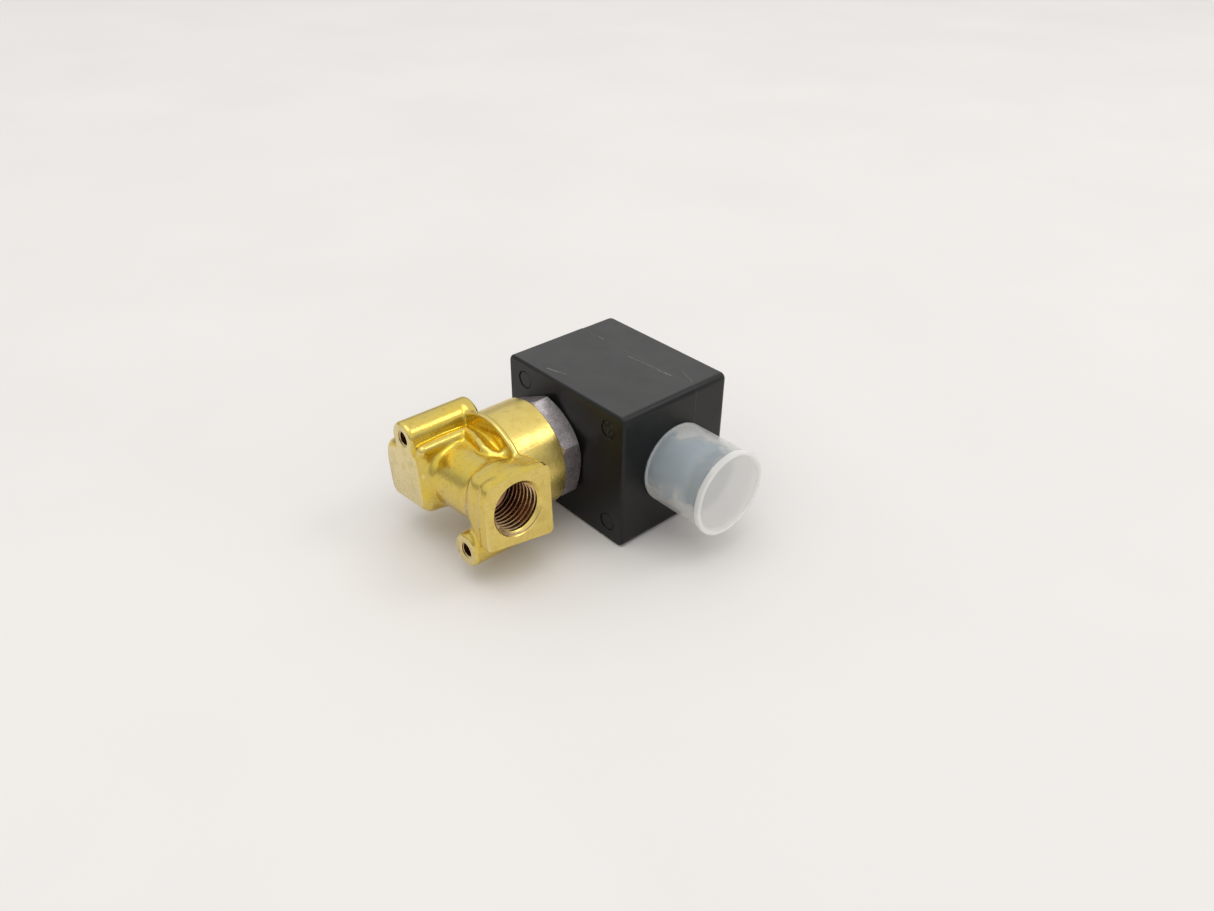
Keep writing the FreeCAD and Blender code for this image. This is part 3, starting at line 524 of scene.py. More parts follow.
def forged_brass():
    """Bright forged brass: orange-peel skin, rough greenish patches and dark specks, with painted light: a
    painted reflection of deeper gold in hollows and painted highlights of paler brass on ridges.
    """
    f = Finish("forged_brass", Metallic=1.0)
    patches = f.range(f.noise(5.0, 3), 0.35, 0.65)
    grime = f.range(f.noise(1.3, 6, 0.7), 0.54, 0.74)
    coarse = f.range(f.noise(6.5, 3, 0.6), 0.5, 0.62)
    specks = f.range(f.cells(0.9), 0.05, 0.12, 1, 0)
    rare = f.range(f.noise(2.2, 2), 0.52, 0.62)
    crest = f.node("NewGeometry").outputs["Pointiness"]
    base = f.mix(patches, (0.73, 0.54, 0.09), (0.67, 0.515, 0.135))
    # Painted reflection: hollows take a deeper, more saturated gold that stands in for the brass reflecting
    # itself there.
    base = f.mix(f.range(crest, 0.5, 0.46), base, (0.76, 0.51, 0.03))
    # Painted highlight: ridges and crests take a paler brass.
    base = f.mix(f.range(crest, 0.505, 0.56), base, (0.80, 0.65, 0.26))
    stained = f.mix(f.times(grime, 0.55), base, (0.38, 0.27, 0.05))
    colour = f.mix(f.times(specks, rare), stained, (0.10, 0.07, 0.03))
    rough = f.maths("ADD", f.range(f.noise(0.7, 4), 0.3, 0.7, 0.15, 0.27), f.times(grime, 0.16))
    f.bump(f.noise(2.6, 3), 0.06, 0.6)
    f.bump(f.times(f.noise(0.6, 4, 0.6), f.range(coarse, 0, 1, 0.25, 1.0)), 0.05, 0.7)
    f.bump(f.noise(0.14, 2), 0.003, 0.6)
    return f.done(Base_Color=colour, Roughness=rough)


def machined_brass():
    """Cut brass: golden on the neck and port faces, paler on the mounting face, with tool lines and nicks."""
    f = Finish("machined_brass", Metallic=1.0)
    lines = f.noise(0.1, 3, 0.6, stretch=(1.0, 0.12, 0.12))
    patches = f.range(f.noise(3.0, 3), 0.35, 0.65)
    nicks = f.range(f.cells(1.6), 0.03, 0.07, 1, 0)
    golden = f.mix(patches, (0.79, 0.62, 0.19), (0.73, 0.56, 0.155))
    mounting_face = f.range(f.across("X"), 0.3 * MM, 1.2 * MM, 1, 0)
    base = f.mix(mounting_face, golden, (0.76, 0.64, 0.31))
    stain = f.range(f.noise(2.6, 6, 0.68), 0.5, 0.72)
    base = f.mix(f.times(stain, 0.5), base, (0.50, 0.37, 0.10))
    colour = f.mix(nicks, base, (0.3, 0.2, 0.09))
    rough = f.maths("ADD", f.range(lines, 0.3, 0.7, 0.22, 0.36), f.times(stain, 0.12))
    f.bump(lines, 0.008, 0.8)
    f.bump(f.noise(1.6, 3), 0.02, 0.4)
    return f.done(Base_Color=colour, Roughness=rough)


def thread_brass():
    """Cut threads: copper-brown with stains, and painted shade that darkens them down the bore, so that they
    stay bright near the mouth.
    """
    f = Finish("thread_brass", Metallic=1.0)
    stain = f.range(f.noise(1.4, 4), 0.35, 0.7)
    # Painted shade: the threads darken towards the bottom of the bore.
    deep = f.range(f.maths("ABSOLUTE", f.across("Y")), 16.0 * MM, 8.0 * MM)
    colour = f.mix(stain, (0.78, 0.56, 0.30), (0.50, 0.31, 0.16))
    colour = f.mix(deep, colour, (0.36, 0.19, 0.11))
    f.bump(f.noise(0.12, 3), 0.006, 0.7)
    return f.done(Base_Color=colour, Roughness=f.range(stain, 0, 1, 0.16, 0.28))


def turned_steel(name, colour, dark, low, high, grain=0.1, grain_depth=0.01, speckle=0.1):
    """Cut or plated steel: fine grain, faint lines along the tube, and stains."""
    f = Finish(name, Metallic=1.0)
    stain = f.range(f.noise(2.4, 5, 0.6), 0.42, 0.72)
    lines = f.noise(0.16, 2, stretch=(0.06, 1.0, 1.0))
    tint = f.mix(f.times(stain, 0.6), colour, dark)
    dots = f.range(f.noise(grain * 1.6, 2, 0.7), 0.42, 0.58)
    tint = f.mix(f.times(dots, speckle), tint, dark)
    f.bump(f.noise(grain, 3, 0.7), grain_depth, 0.9)
    f.bump(lines, grain_depth * 0.6, 0.5)
    return f.done(Base_Color=tint, Roughness=f.range(f.noise(grain * 2, 4), 0.3, 0.7, low, high))


def moulded(name, colour, worn, low, high, grain=0.25):
    """Moulded plastic or rubber: fine spark-eroded grain, faint flow marks and rubbed patches."""
    f = Finish(name)
    depth = 0.012
    flow = f.range(f.noise(9.0, 4, 0.6), 0.38, 0.66)
    rubs = f.range(f.noise(1.6, 6, 0.7, stretch=(0.5, 1.0, 1.0)), 0.6, 0.82)
    tint = f.mix(f.times(flow, 0.35), colour, worn)
    tint = f.mix(f.times(rubs, 0.3), tint, worn)
    rough = f.maths("ADD", f.range(flow, 0, 1, low, high), f.times(rubs, 0.08))
    f.bump(f.noise(grain, 2), depth, 0.6)
    f.bump(f.noise(grain * 14, 2), depth * 3, 0.25)
    return f.done(Base_Color=tint, Roughness=rough)


def scratch(f, start, end, width):
    """Return how much of a scratch, a line between two points in millimetres, a spot lies in."""
    a, b = Vector(start) * MM, Vector(end) * MM
    span = b - a
    offset = f.node("VectorMath", {0: f.place, 1: a}, operation="SUBTRACT").outputs[0]
    along = f.node("VectorMath", {0: offset, 1: span / span.length_squared}, operation="DOT_PRODUCT")
    share = f.node("Clamp", {"Value": along.outputs["Value"]}).outputs[0]
    nearest = f.node("VectorMath", {0: span, "Scale": share}, operation="SCALE").outputs[0]
    away = f.node("VectorMath", {0: offset, 1: nearest}, operation="DISTANCE").outputs["Value"]
    return f.range(away, 0, width * MM, 1, 0)


def scratched_moulding(name, colour, worn, low, high, scratches):
    """Black coil moulding: painted light that makes the upward faces lighter, scratches on top, and a fine
    line where the two mouldings meet.
    """
    f = Finish(name, Specular_IOR_Level=0.29)
    flow = f.range(f.noise(11.0, 3, 0.6), 0.4, 0.64)
    rubs = f.range(f.noise(2.0, 6, 0.75, stretch=(0.35, 1.0, 1.0)), 0.6, 0.8)
    # Painted light: upward faces are painted a lighter grey, standing in for the light that the top catches.
    upward = f.node("SeparateXYZ", {0: f.node("TexCoord").outputs["Normal"]}).outputs["Z"]
    painted_top_light = f.times(f.range(upward, 0.9, 1.0), f.range(f.noise(7.0, 5, 0.6), 0.3, 0.7, 0.85, 1.0))
    tint = f.mix(f.times(flow, 0.4), colour, worn)
    tint = f.mix(f.times(rubs, 0.35), tint, worn)
    # Painted light: the upward faces blend towards this lighter grey.
    tint = f.mix(painted_top_light, tint, (0.05, 0.05, 0.0485))
    marks = 0.0
    for start, end, width in scratches:
        marks = f.maths("MAXIMUM", marks, scratch(f, start, end, width))
    broken = f.times(marks, f.range(f.noise(0.7, 3, 0.7), 0.36, 0.54))
    tint = f.mix(broken, tint, (0.33, 0.325, 0.305))
    from_joint = f.maths("ABSOLUTE", f.maths("SUBTRACT", f.across("X"), COIL_SPLIT * MM))
    seam = f.times(f.range(from_joint, 0, 0.11 * MM, 1, 0), f.range(f.noise(2.5, 3), 0.35, 0.6, 0.25, 0.9))
    tint = f.mix(seam, tint, (0.12, 0.12, 0.115))
    f.bump(broken, -0.03, 0.6)
    f.bump(f.noise(0.3, 2), 0.01, 0.5)
    f.bump(f.noise(5.0, 2), 0.05, 0.2)
    return f.done(Base_Color=tint, Roughness=f.range(flow, 0, 1, low, high))


def clear_polyethylene():
    """Frosted, milky cap: clearer where it lies on the connector, dense in the end flange and at the lip,
    with a painted highlight along the end face's rim.
    """
    f = Finish("clear_polyethylene", IOR=1.5, Subsurface_Weight=0.6, Subsurface_Scale=3 * MM,
               Subsurface_Radius=(1.0, 0.97, 0.93))
    haze = f.range(f.noise(3.5, 4), 0.35, 0.65)
    scuffs = f.range(f.noise(0.9, 5, 0.7, stretch=(1.0, 0.3, 1.0)), 0.6, 0.8)
    # The wall lies on the connector where it is far enough from the axis, towards -X and +Z.
    aside = f.maths("MULTIPLY_ADD", f.across("X"), -0.74, 0.74 * CONNECTOR_X * MM)
    aside = f.maths("MULTIPLY_ADD", f.across("Z"), 0.67, aside)
    ragged = f.maths("MULTIPLY_ADD", f.noise(7.0, 3, 0.55), 15.0 * MM, aside)
    touching = f.range(ragged, 13.9 * MM, 15.4 * MM)
    along = f.across("Y")
    front, back = cap_low[1], cap_high[1]
    end = f.range(along, (front + 1.2) * MM, (front + 1.7) * MM, 1, 0)
    lip = f.range(along, (back - 0.4) * MM, (back - 0.3) * MM)
    rim = f.range(along, (front + 0.3) * MM, (front + 0.12) * MM)
    tint = f.mix(haze, (0.83, 0.815, 0.775), (0.78, 0.765, 0.73))
    tint = f.mix(touching, tint, (0.60, 0.665, 0.70))
    tint = f.mix(end, tint, (0.81, 0.80, 0.77))
    # Painted highlight: the end face's outer rim is painted a lighter white, and the lip takes the same
    # lighter white.
    tint = f.mix(f.maths("MAXIMUM", f.times(rim, 0.4), lip), tint, (0.93, 0.92, 0.89))
    film = f.maths("ADD", f.range(touching, 0, 1, 0.41, 0.31), f.times(scuffs, 0.04))
    film = f.maths("MAXIMUM", film, f.range(end, 0, 1, 0, 0.66))
    # The painted highlight's rim, and the lip, are also made more opaque.
    film = f.maths("MULTIPLY_ADD", f.maths("MAXIMUM", f.times(rim, 0.3), lip), 0.4, film)
    rough = f.maths("ADD", f.range(haze, 0, 1, 0.3, 0.4), f.times(scuffs, 0.15))
    f.bump(f.noise(0.5, 3), 0.01, 0.4)
    f.bump(f.noise(6.0, 2), 0.06, 0.2)
    return f.done(Base_Color=tint, Roughness=rough, Alpha=film)


def copper_wire():
    """Enamelled copper wire wound in close turns along the tube."""
    f = Finish("copper", Metallic=1.0)
    wave = {"Vector": f.place, "Scale": 1 / (0.25 * MM) / 6.28, "Distortion": 0.3}
    bands = f.node("TexWave", wave, bands_direction="X").outputs["Fac"]
    stain = f.range(f.noise(2.0, 4), 0.3, 0.7)
    colour = f.mix(stain, (0.72, 0.32, 0.14), (0.52, 0.2, 0.08))
    f.bump(bands, 0.1, 0.8)
    return f.done(Base_Color=colour, Roughness=f.range(bands, 0, 1, 0.42, 0.26))


def floor_finish():
    """Pale matt table top."""
    f = Finish("pale_floor", Specular_IOR_Level=0.2)
    tone = f.range(f.noise(90.0, 3), 0.3, 0.7)
    colour = f.mix(tone, (0.775, 0.747, 0.722), (0.80, 0.772, 0.746))
    f.bump(f.noise(1.2, 3), 0.03, 0.1)
    return f.done(Base_Color=colour, Roughness=f.range(tone, 0, 1, 0.7, 0.8))


TOP = coil_high[2]
SCRATCHES = (  # start, end and width in millimetres, on the coil's top
    ((COIL_START + 2.4, 3.7, TOP), (COIL_START + 3.2, 0.6, TOP), 0.16),
    ((COIL_START + 3.1, 0.9, TOP), (COIL_START + 4.0, -1.6, TOP), 0.1),
    ((COIL_SPLIT - 1.7, -4.5, TOP), (COIL_SPLIT - 0.9, -14.0, TOP), 0.09),
    ((COIL_SPLIT - 1.1, -14.4, TOP), (COIL_SPLIT - 0.7, -18.7, TOP), 0.16),
    ((COIL_SPLIT - 0.1, 8.2, TOP), (COIL_SPLIT - 0.3, 6.5, TOP), 0.12),
)
COVER_SCRATCHES = (((COIL_SPLIT + 3.2, -18.5, TOP), (COIL_SPLIT + 1.0, -24.1, TOP), 0.12),)

STEELS = {  # main colour, stain colour, lowest and highest roughness, then grain, its depth and speckle
    "machined_steel": ((0.66, 0.60, 0.61), (0.24, 0.215, 0.22), 0.32, 0.5, 0.2, 0.06, 0.6),
    "tube_steel": ((0.62, 0.61, 0.6), (0.4, 0.39, 0.38), 0.18, 0.3),
    "core_steel": ((0.52, 0.52, 0.53), (0.3, 0.3, 0.3), 0.22, 0.36),
    "spring_steel": ((0.58, 0.58, 0.6), (0.36, 0.36, 0.38), 0.2, 0.32),
    "yoke_steel": ((0.45, 0.45, 0.47), (0.28, 0.27, 0.26), 0.34, 0.5, 0.2, 0.02),
    "zinc_plate": ((0.68, 0.69, 0.72), (0.45, 0.46, 0.5), 0.2, 0.36),
    "zinc_blue": ((0.24, 0.30, 0.34), (0.15, 0.185, 0.21), 0.5, 0.65),
    "contact_brass": ((0.8, 0.62, 0.28), (0.6, 0.42, 0.16), 0.2, 0.32),
}
MOULDINGS = {  # main colour, worn colour, lowest and highest roughness, then grain
    "insulator_black": ((0.02, 0.02, 0.021), (0.05, 0.05, 0.05), 0.35, 0.45),
    "white_plastic": ((0.78, 0.77, 0.73), (0.7, 0.68, 0.62), 0.35, 0.5),
    "black_rubber": ((0.015, 0.015, 0.016), (0.04, 0.04, 0.04), 0.55, 0.7, 0.15),
}
COIL_MOULDINGS = {  # main colour, worn colour, lowest and highest roughness, then scratches
    "black_moulding": ((0.006, 0.0064, 0.0062), (0.015, 0.0155, 0.015), 0.34, 0.44, SCRATCHES),
    "black_cover": ((0.0085, 0.0087, 0.0083), (0.018, 0.018, 0.017), 0.36, 0.46, COVER_SCRATCHES),
}
finishes = {
    "forged_brass": forged_brass(),
    "machined_brass": machined_brass(),
    "thread_brass": thread_brass(),
    "copper": copper_wire(),
    "clear_polyethylene": clear_polyethylene(),
}
for recipe, kinds in ((turned_steel, STEELS), (moulded, MOULDINGS), (scratched_moulding, COIL_MOULDINGS)):
    for name, settings in kinds.items():
        finishes[name] = recipe(name, *settings)

for node in frame["nodes"].values():
    for place in node.material_slots:
        place.material = finishes[place.material.name]


# ------------ the brass body

def forging(p):
    """Distance to the rough forging in the body's own frame, before it is machined."""
    x, y, z = p.T

    # The block behind the rear port, the round bar between the ports and the root of the neck.
    rear = prism(y, z, [(3.9, 9.1), (18.2, 8.5), (20.9, 5.6), (20.9, -8.1), (4.2, -8.1)], 2.4)
    rear = soft_common(rear, slab(x, -0.3, 18.6, 0.5), 3.2)
    barrel = rod(p, (PORT_X + 0.3, -17.5, 0), (PORT_X + 0.3, 9.0, 0), 8.1, 1.5)
    body = soft_join(rear, barrel, 2.2)
    root = rod(p, (12.6, 0, 0), (18.0, 0, 0), 9.6, 1.4)
    body = soft_join(body, root, 2.4)

    # The front port's block, in two steps.
    behind = prism(x, z, [(1.6, 6.3), (3.4, 8.5), (19.2, 7.6), (18.5, -10.3), (0.6, -7.4)], 1.8)
    plan = prism(x, y, [(0.5, -18.9), (0.5, -13.6), (2.4, -11.3), (19.6, -11.1), (19.6, -18.9)], 1.8)
    body = soft_join(body, soft_common(behind, plan, 1.3), 2.6)
    front = prism(x, z, [(1.15, 6.5), (2.9, 8.6), (19.2, 7.6), (18.5, -10.3), (0.2, -7.2)], 1.6)
    front = soft_common(front, slab(y, -20.9, -16.7, 0.6), 1.2)
    body = soft_join(body, front, 0.7)

    # The bead over the top, from the rear block to the front one, and the shoulder round the neck.
    edge = trail(p, [
        (1.7, 4.9, 8.9, 1.3), (8.0, 5.0, 9.0, 1.35), (13.9, 4.8, 9.2, 1.25), (13.5, 1.0, 9.5, 1.1),
        (12.5, -2.3, 9.5, 1.05), (12.2, -4.5, 8.8, 1.0), (12.8, -6.5, 7.8, 1.0), (14.1, -7.8, 7.2, 1.0),
        (16.2, -8.9, 7.6, 1.1),
    ])
    body = soft_join(body, edge, 1.0)
    shoulder = rod(p, (15.5, 0, 0), (16.9, 0, 0), 14.35, 0.45)
    body = soft_join(body, shoulder, 1.0)

    # The column round each mounting hole, with a thicker heel under the shoulder.
    for side, blend in ((1, 1.3), (-1, 3.0)):
        offset = HOLE_OFFSET * side
        column = rod(p, (-0.2, offset, offset), (19.2, offset, offset), 4.1, 1.1)
        heel = rod(p, (15.6, offset * 0.9, offset * 0.9), (19.0, offset * 0.9, offset * 0.9), 4.7, 1.2)
        body = soft_join(body, soft_join(column, heel, 0.6), blend)
    return body


MACHINED, THREADED = 1, 2  # material slots of the brass body, after the forged one
DRILL_POINT = 0.6  # height of a drill's point over its radius
RUN_OUT = 1.0  # how far a cutter reaches past a face, or a thread stops short of its drilling


def threaded_hole(piece, face, direction, minor, major, pitch, depth, overlap, mouth):
    """Drill and thread a hole that starts at a face, and countersink its mouth.

    The screw's core is thinner than the drilling by an overlap, so that their walls never coincide.
    The mouth is the countersink's outer radius, inner radius and depth.
    """
    drilling = [(-RUN_OUT, 0), (-RUN_OUT, minor), (depth, minor), (depth + minor * DRILL_POINT, 0)]
    lathe(piece, drilling, face, direction, THREADED)
    start = np.array(face) - np.array(direction) * pitch * 2
    length = depth - RUN_OUT + pitch * 2
    cut(piece, *threaded_rod(minor - overlap, major, pitch, length, start, direction), THREADED)
    wide, narrow, deep = mouth
    lathe(piece, [(-0.5, 0), (-0.5, wide), (deep, narrow), (deep, 0)], face, direction, MACHINED)


def build_body():
    """Brass body: the forging is skinned, then its faces, neck, ports, holes and chamber are machined."""
    low, high, cell = (-1.2, -21.6, -15.6), (20.4, 21.6, 15.6), 0.3
    points, faces = skin(forging, low, high, cell)
    surfaces = [finishes[name] for name in ("forged_brass", "machined_brass", "thread_brass")]
    piece = new_piece("valve_body_forging", points, faces, "valve_body", "valve", "forged_brass", surfaces)

    neck = [(16.3, 0), (16.3, NECK_RADIUS), (NECK_END - 0.5, NECK_RADIUS)]
    neck += [(NECK_END, NECK_RADIUS - 0.5), (NECK_END, 0)]
    lathe(piece, neck, index=MACHINED, operation="UNION")

    reach = 30.0
    for low, high in (
        ((-reach, -reach, -reach), (0, reach, reach)),
        ((-RUN_OUT, -reach, -reach), (NECK_END - 2, -PORT_FACE, reach)),
        ((-RUN_OUT, PORT_FACE, -reach), (NECK_END - 2, reach, reach)),
    ):
        cut(piece, *block(low, high), MACHINED)

    for side in (-1, 1):
        face, inward = (PORT_X, side * PORT_FACE, 0), (0, -side, 0)
        threaded_hole(piece, face, inward, minor=5.72, major=6.58, pitch=1.337, depth=12.0,
                      overlap=0.05, mouth=(7.25, 5.65, 1.1))
    for side in (-1, 1):
        face = (0, side * HOLE_OFFSET, side * HOLE_OFFSET)
        threaded_hole(piece, face, TUBEWARD, minor=1.65, major=2.0, pitch=0.7, depth=8.0,
                      overlap=0.03, mouth=(2.75, 1.6, 0.55))

    ledge, floor, seat_top = 19.3, 16.9, 18.4
    chamber = [(NECK_END + RUN_OUT, 0), (NECK_END + RUN_OUT, 11.4), (NECK_END, 11.4)]
    chamber += [(NECK_END - 0.4, 11.0), (ledge, 11.0), (ledge, 8.6), (floor, 8.6), (floor, 3.0)]
    chamber += [(seat_top - 0.3, 3.0), (seat_top, 2.2), (seat_top, 0)]
    lathe(piece, chamber, index=MACHINED)
    for start, direction, radius, length in (
        ((PORT_X, 0, 0), TUBEWARD, 1.5, seat_top - PORT_X + RUN_OUT),
        ((PORT_X, -1.5, 0), (0, 1, 0), 2.0, 12.0),
        ((PORT_X, -7.0, 0), TUBEWARD, 1.5, floor - PORT_X + RUN_OUT),
    ):
        drilling = [(0, 0), (0, radius), (length, radius), (length, 0)]
        lathe(piece, drilling, start, direction, MACHINED)
    rolled(piece)
    shade(piece, 34)


# ------------ the other pieces

def hexagon_blank(name, node, slot, flats, start, end, first_corner, rounding):
    """Make a hexagonal bar along +X with slightly rounded corners, the first at an angle in degrees."""
    centre = flats / math.sqrt(3) - rounding * (2 / math.sqrt(3) - 1) - rounding
    outline = []
    for k in range(6):
        a = math.radians(first_corner + 60 * k)
        for share in (-1, -0.5, 0, 0.5, 1):
            b = math.radians(first_corner + 60 * k + 30 * share)
            outline.append((centre * math.cos(a) + rounding * math.cos(b),
                            centre * math.sin(a) + rounding * math.sin(b)))
    count = len(outline)
    points = [(x, y, z) for x in (start, end) for y, z in outline]
    faces = [list(range(count))[::-1], list(range(count, 2 * count))]
    faces += [[i, (i + 1) % count, count + (i + 1) % count, count + i] for i in range(count)]
    return new_piece(name, points, faces, node, "valve", slot)


def build_bonnet():
    """Steel hexagon with a turned chamfer towards the coil, its threaded spigot and its bore."""
    spigot_start, end = span("bonnet_nut")
    start = NECK_END
    piece = hexagon_blank("bonnet_hexagon", "bonnet_nut", "machined_steel", 24.0, start, end, 100.5, 0.3)
    corner_radius, face_radius = 13.9, 11.7
    chamfer = (corner_radius - face_radius) / math.sqrt(3)
    turned = [(start - 1, 0), (start - 1, 13.2), (start, 13.2), (start + 0.3, 13.72)]
    turned += [(end - chamfer, corner_radius), (end, face_radius), (end, 0)]
    lathe(piece, turned, operation="INTERSECT", steps=192)

    spigot, relief, relief_start, joined = 10.85, 10.5, start - 1.4, start + 3
    turned = [(spigot_start, 0), (spigot_start, 10.3), (spigot_start + 0.5, spigot), (start - 1.6, spigot)]
    turned += [(relief_start, relief), (joined, relief), (joined, 0)]
    lathe(piece, turned, operation="UNION")
    thread_start, thread_length = (spigot_start - 0.5, 0, 0), relief_start - spigot_start
    cut_outside_thread(piece, 10.35, spigot + 0.01, 1.0, thread_start, TUBEWARD, thread_length)
    bore = 6.5
    turned = [(spigot_start - 1, 0), (spigot_start - 1, bore), (end - 0.4, bore)]
    turned += [(end + 0.2, bore + 0.6), (end + 0.2, 0)]
    lathe(piece, turned)
    rolled(piece)
    shade(piece, 24)


def build_core():
    """Fixed core with the M8 stud that holds the coil."""
    piece = copy_of("fixed_core", "core_and_stud", "valve")
    stud, pitch, stud_start = 4.0, 1.0, 68.6
    length = span("fixed_core")[1] - stud_start
    cut_outside_thread(piece, stud - 0.61, stud, pitch, (stud_start + 0.7, 0, 0), TUBEWARD, length)
    shade(piece, 30)


def build_nut():
    """Coil nut: chamfered on both faces, with a countersunk bore."""
    start, end = span("coil_nut")
    flats, bore, mouth, sink = 13.0, 4.04, 4.6, 0.55
    piece = hexagon_blank("coil_nut_hexagon", "coil_nut", "zinc_plate", flats, start, end, 90, 0.2)
    face_radius, corner_radius = flats / 2 - 0.15, flats / math.sqrt(3)
    rise = (corner_radius - face_radius) / math.sqrt(3)
    turned = [(start, 0), (start, face_radius), (start + rise, corner_radius)]
    turned += [(end - rise, corner_radius), (end, face_radius), (end, 0)]
    lathe(piece, turned, operation="INTERSECT", steps=144)
    turned = [(start - 1, 0), (start - 1, mouth), (start, mouth), (start + sink, bore), (end - sink, bore)]
    turned += [(end, mouth), (end + 1, mouth), (end + 1, 0)]
    lathe(piece, turned)
    rolled(piece)
    shade(piece, 24)


def build_washer():
    """Spring washer: a dished ring with rounded edges."""
    start, end = span("spring_washer")
    rim, bore, dish = span("spring_washer", 2)[1], 4.2, 0.25
    front = end - dish
    outline = [(start + dish, bore), (start, rim - 0.3), (start + 0.1, rim - 0.06), (start + 0.3, rim)]
    outline += [(front - 0.15, rim - 0.02), (front, rim - 0.25), (end, bore + 0.15), (end - 0.12, bore)]
    piece = new_piece("spring_washer_dished", *revolve(outline), "spring_washer", "valve", "zinc_plate")
    shade(piece, 40)


MARK_RINGS = 6  # rings of points inside an ejector mark, for its ragged floor


def ejector_mark(piece, y, z, ragged, radius=2.45, depth=0.16):
    """Press an ejector pin's round mark into the coil's face towards the body."""
    outline = [(-1, 0), (-1, radius), (depth * 2.2, radius - 0.08), (depth * 2.2, radius - 0.32)]
    outline += [(depth, (radius - 0.42) * (1 - k / MARK_RINGS)) for k in range(MARK_RINGS)] + [(depth, 0)]
    points, faces = revolve(outline, (COIL_START, y, z), TUBEWARD, 48)
    if ragged:
        for n, p in enumerate(points):
            lift = noise.noise(Vector(p) * 1.3) + 0.5 * noise.noise(Vector(p) * 3.1)
            swell = 1 + 0.16 * noise.noise(Vector((p[1], p[2], 7.0)) * 0.8)
            inside = p[0] > COIL_START - 0.5
            points[n] = (p[0] + ragged * lift * inside, y + (p[1] - y) * swell, z + (p[2] - z) * swell)
    cut(piece, points, faces)


def build_coil():
    """Coil moulding with ejector marks, and the end moulding a hair smaller beyond the joint."""
    piece = copy_of("coil_housing", "coil_moulding", "coil")
    front, back = coil_low[1] + 5.3, coil_high[1] - 6.35
    low, high = coil_low[2] + 5.3, coil_high[2] - 4.9
    for y, z, ragged in ((front, high, 0.22), (back, high, 0), (front, low, 0), (back, low, 0)):
        ejector_mark(piece, y, z, ragged)
    shade(piece, 30)

    cover = copy_of("rear_cover", "coil_end_moulding", "coil")
    step = 0.07
    middle, half = (cover_low + cover_high) / 2, (cover_high - cover_low) / 2
    for vertex in cover.data.vertices:
        for axis in (1, 2):
            place = vertex.co[axis] / MM
            vertex.co[axis] = (middle[axis] + (place - middle[axis]) * (1 - step / half[axis])) * MM
    shade(cover, 30)


def build_connector():
    """Threaded spigot of the connector, and its four round-nosed contacts."""
    piece = copy_of("connector_shell", "connector_spigot", "coil")
    radius, pitch, relief, thread_length = 9.4, 1.5, 1.4, 12.0
    start = (CONNECTOR_X, COIL_FRONT - relief, 0)
    cut_outside_thread(piece, radius - 0.62, radius, pitch, start, FORWARD, thread_length)
    shade(piece, 30)

    circle, pin = 4.4, 0.8
    tip, back = span("contact_pins", 1)
    length = back - tip
    outline = [(0, 0), (0, pin)]
    nose = np.linspace(0, math.pi / 2, 9)[:-1]
    outline += [(length - pin + pin * math.sin(t), pin * math.cos(t)) for t in nose] + [(length, 0)]
    points, faces = [], []
    for k in range(4):
        a = math.pi / 2 * k
        centre = (CONNECTOR_X + circle * math.cos(a), back, circle * math.sin(a))
        more_points, more_faces = revolve(outline, centre, FORWARD, 32)
        faces += [[len(points) + n for n in face] for face in more_faces]
        points += more_points
    pins = new_piece("connector_contacts", points, faces, "contact_pins", "coil", "contact_brass")
    shade(pins, 40)


def build_cap():
    """Push-on cap: thin wall with rounded lip, end flange with a raised rim, recess and gate mark."""
    wall, bore, flange, flange_depth, recess = 10.4, 9.6, 11.0, 1.6, 0.8
    mouth, end = COIL_FRONT - cap_high[1], COIL_FRONT - cap_low[1]
    shelf, floor = end - flange_depth, end - recess
    outline = [(mouth, bore + 0.25), (mouth + 0.12, bore)]
    outline += [(s, bore) for s in np.linspace(mouth + 1, shelf - 0.6, 8)]
    outline += [(shelf - 0.15, bore - 0.15), (shelf, bore - 0.6)]
    outline += [(shelf, r) for r in (7.0, 4.0, 1.6)] + [(shelf, 0)]
    outline += [(floor, 0)] + [(floor + 0.06, r) for r in (1.6, 4.0, 7.0, 9.0)]
    outline += [(floor + 0.12, 9.45), (end - 0.3, 9.8), (end - 0.06, 10.0), (end, 10.15)]
    outline += [(end, 10.45), (end - 0.08, 10.7), (end - 0.3, 10.93), (end - 0.7, flange)]
    outline += [(shelf + 0.45, flange - 0.03), (shelf + 0.1, 10.85), (shelf - 0.1, 10.6), (shelf - 0.5, wall)]
    outline += [(s, wall) for s in np.linspace(shelf - 1.2, mouth + 0.8, 8)]
    outline += [(mouth + 0.25, wall - 0.03), (mouth + 0.05, wall - 0.15), (mouth, wall - 0.3)]
    points, faces = revolve(outline, (CONNECTOR_X, COIL_FRONT, 0), FORWARD, 128)
    for n, p in enumerate(points):  # the soft wall is a little out of round, inside its own radius
        spot = Vector(p)
        across = Vector((spot.x - CONNECTOR_X, 0, spot.z))
        wobble = 0.045 * noise.noise(spot * 0.16)
        share = min(0.996 + wobble / max(across.length, 4.0), 1.0)
        points[n] = (CONNECTOR_X + across.x * share, p[1], across.z * share)
    piece = new_piece("cap_moulding", points, faces, "protective_cap", "cap", "clear_polyethylene")
    gate = [(0, 0), (0, 0.75), (0.12, 0.62), (0.16, 0.35), (0.1, 0)]
    gate = [(floor - 0.12 + s, r) for s, r in gate]
    spot = (CONNECTOR_X - 5.4, COIL_FRONT, -1.5)
    lathe(piece, gate, spot, FORWARD, operation="UNION", steps=24)
    shade(piece, 40)


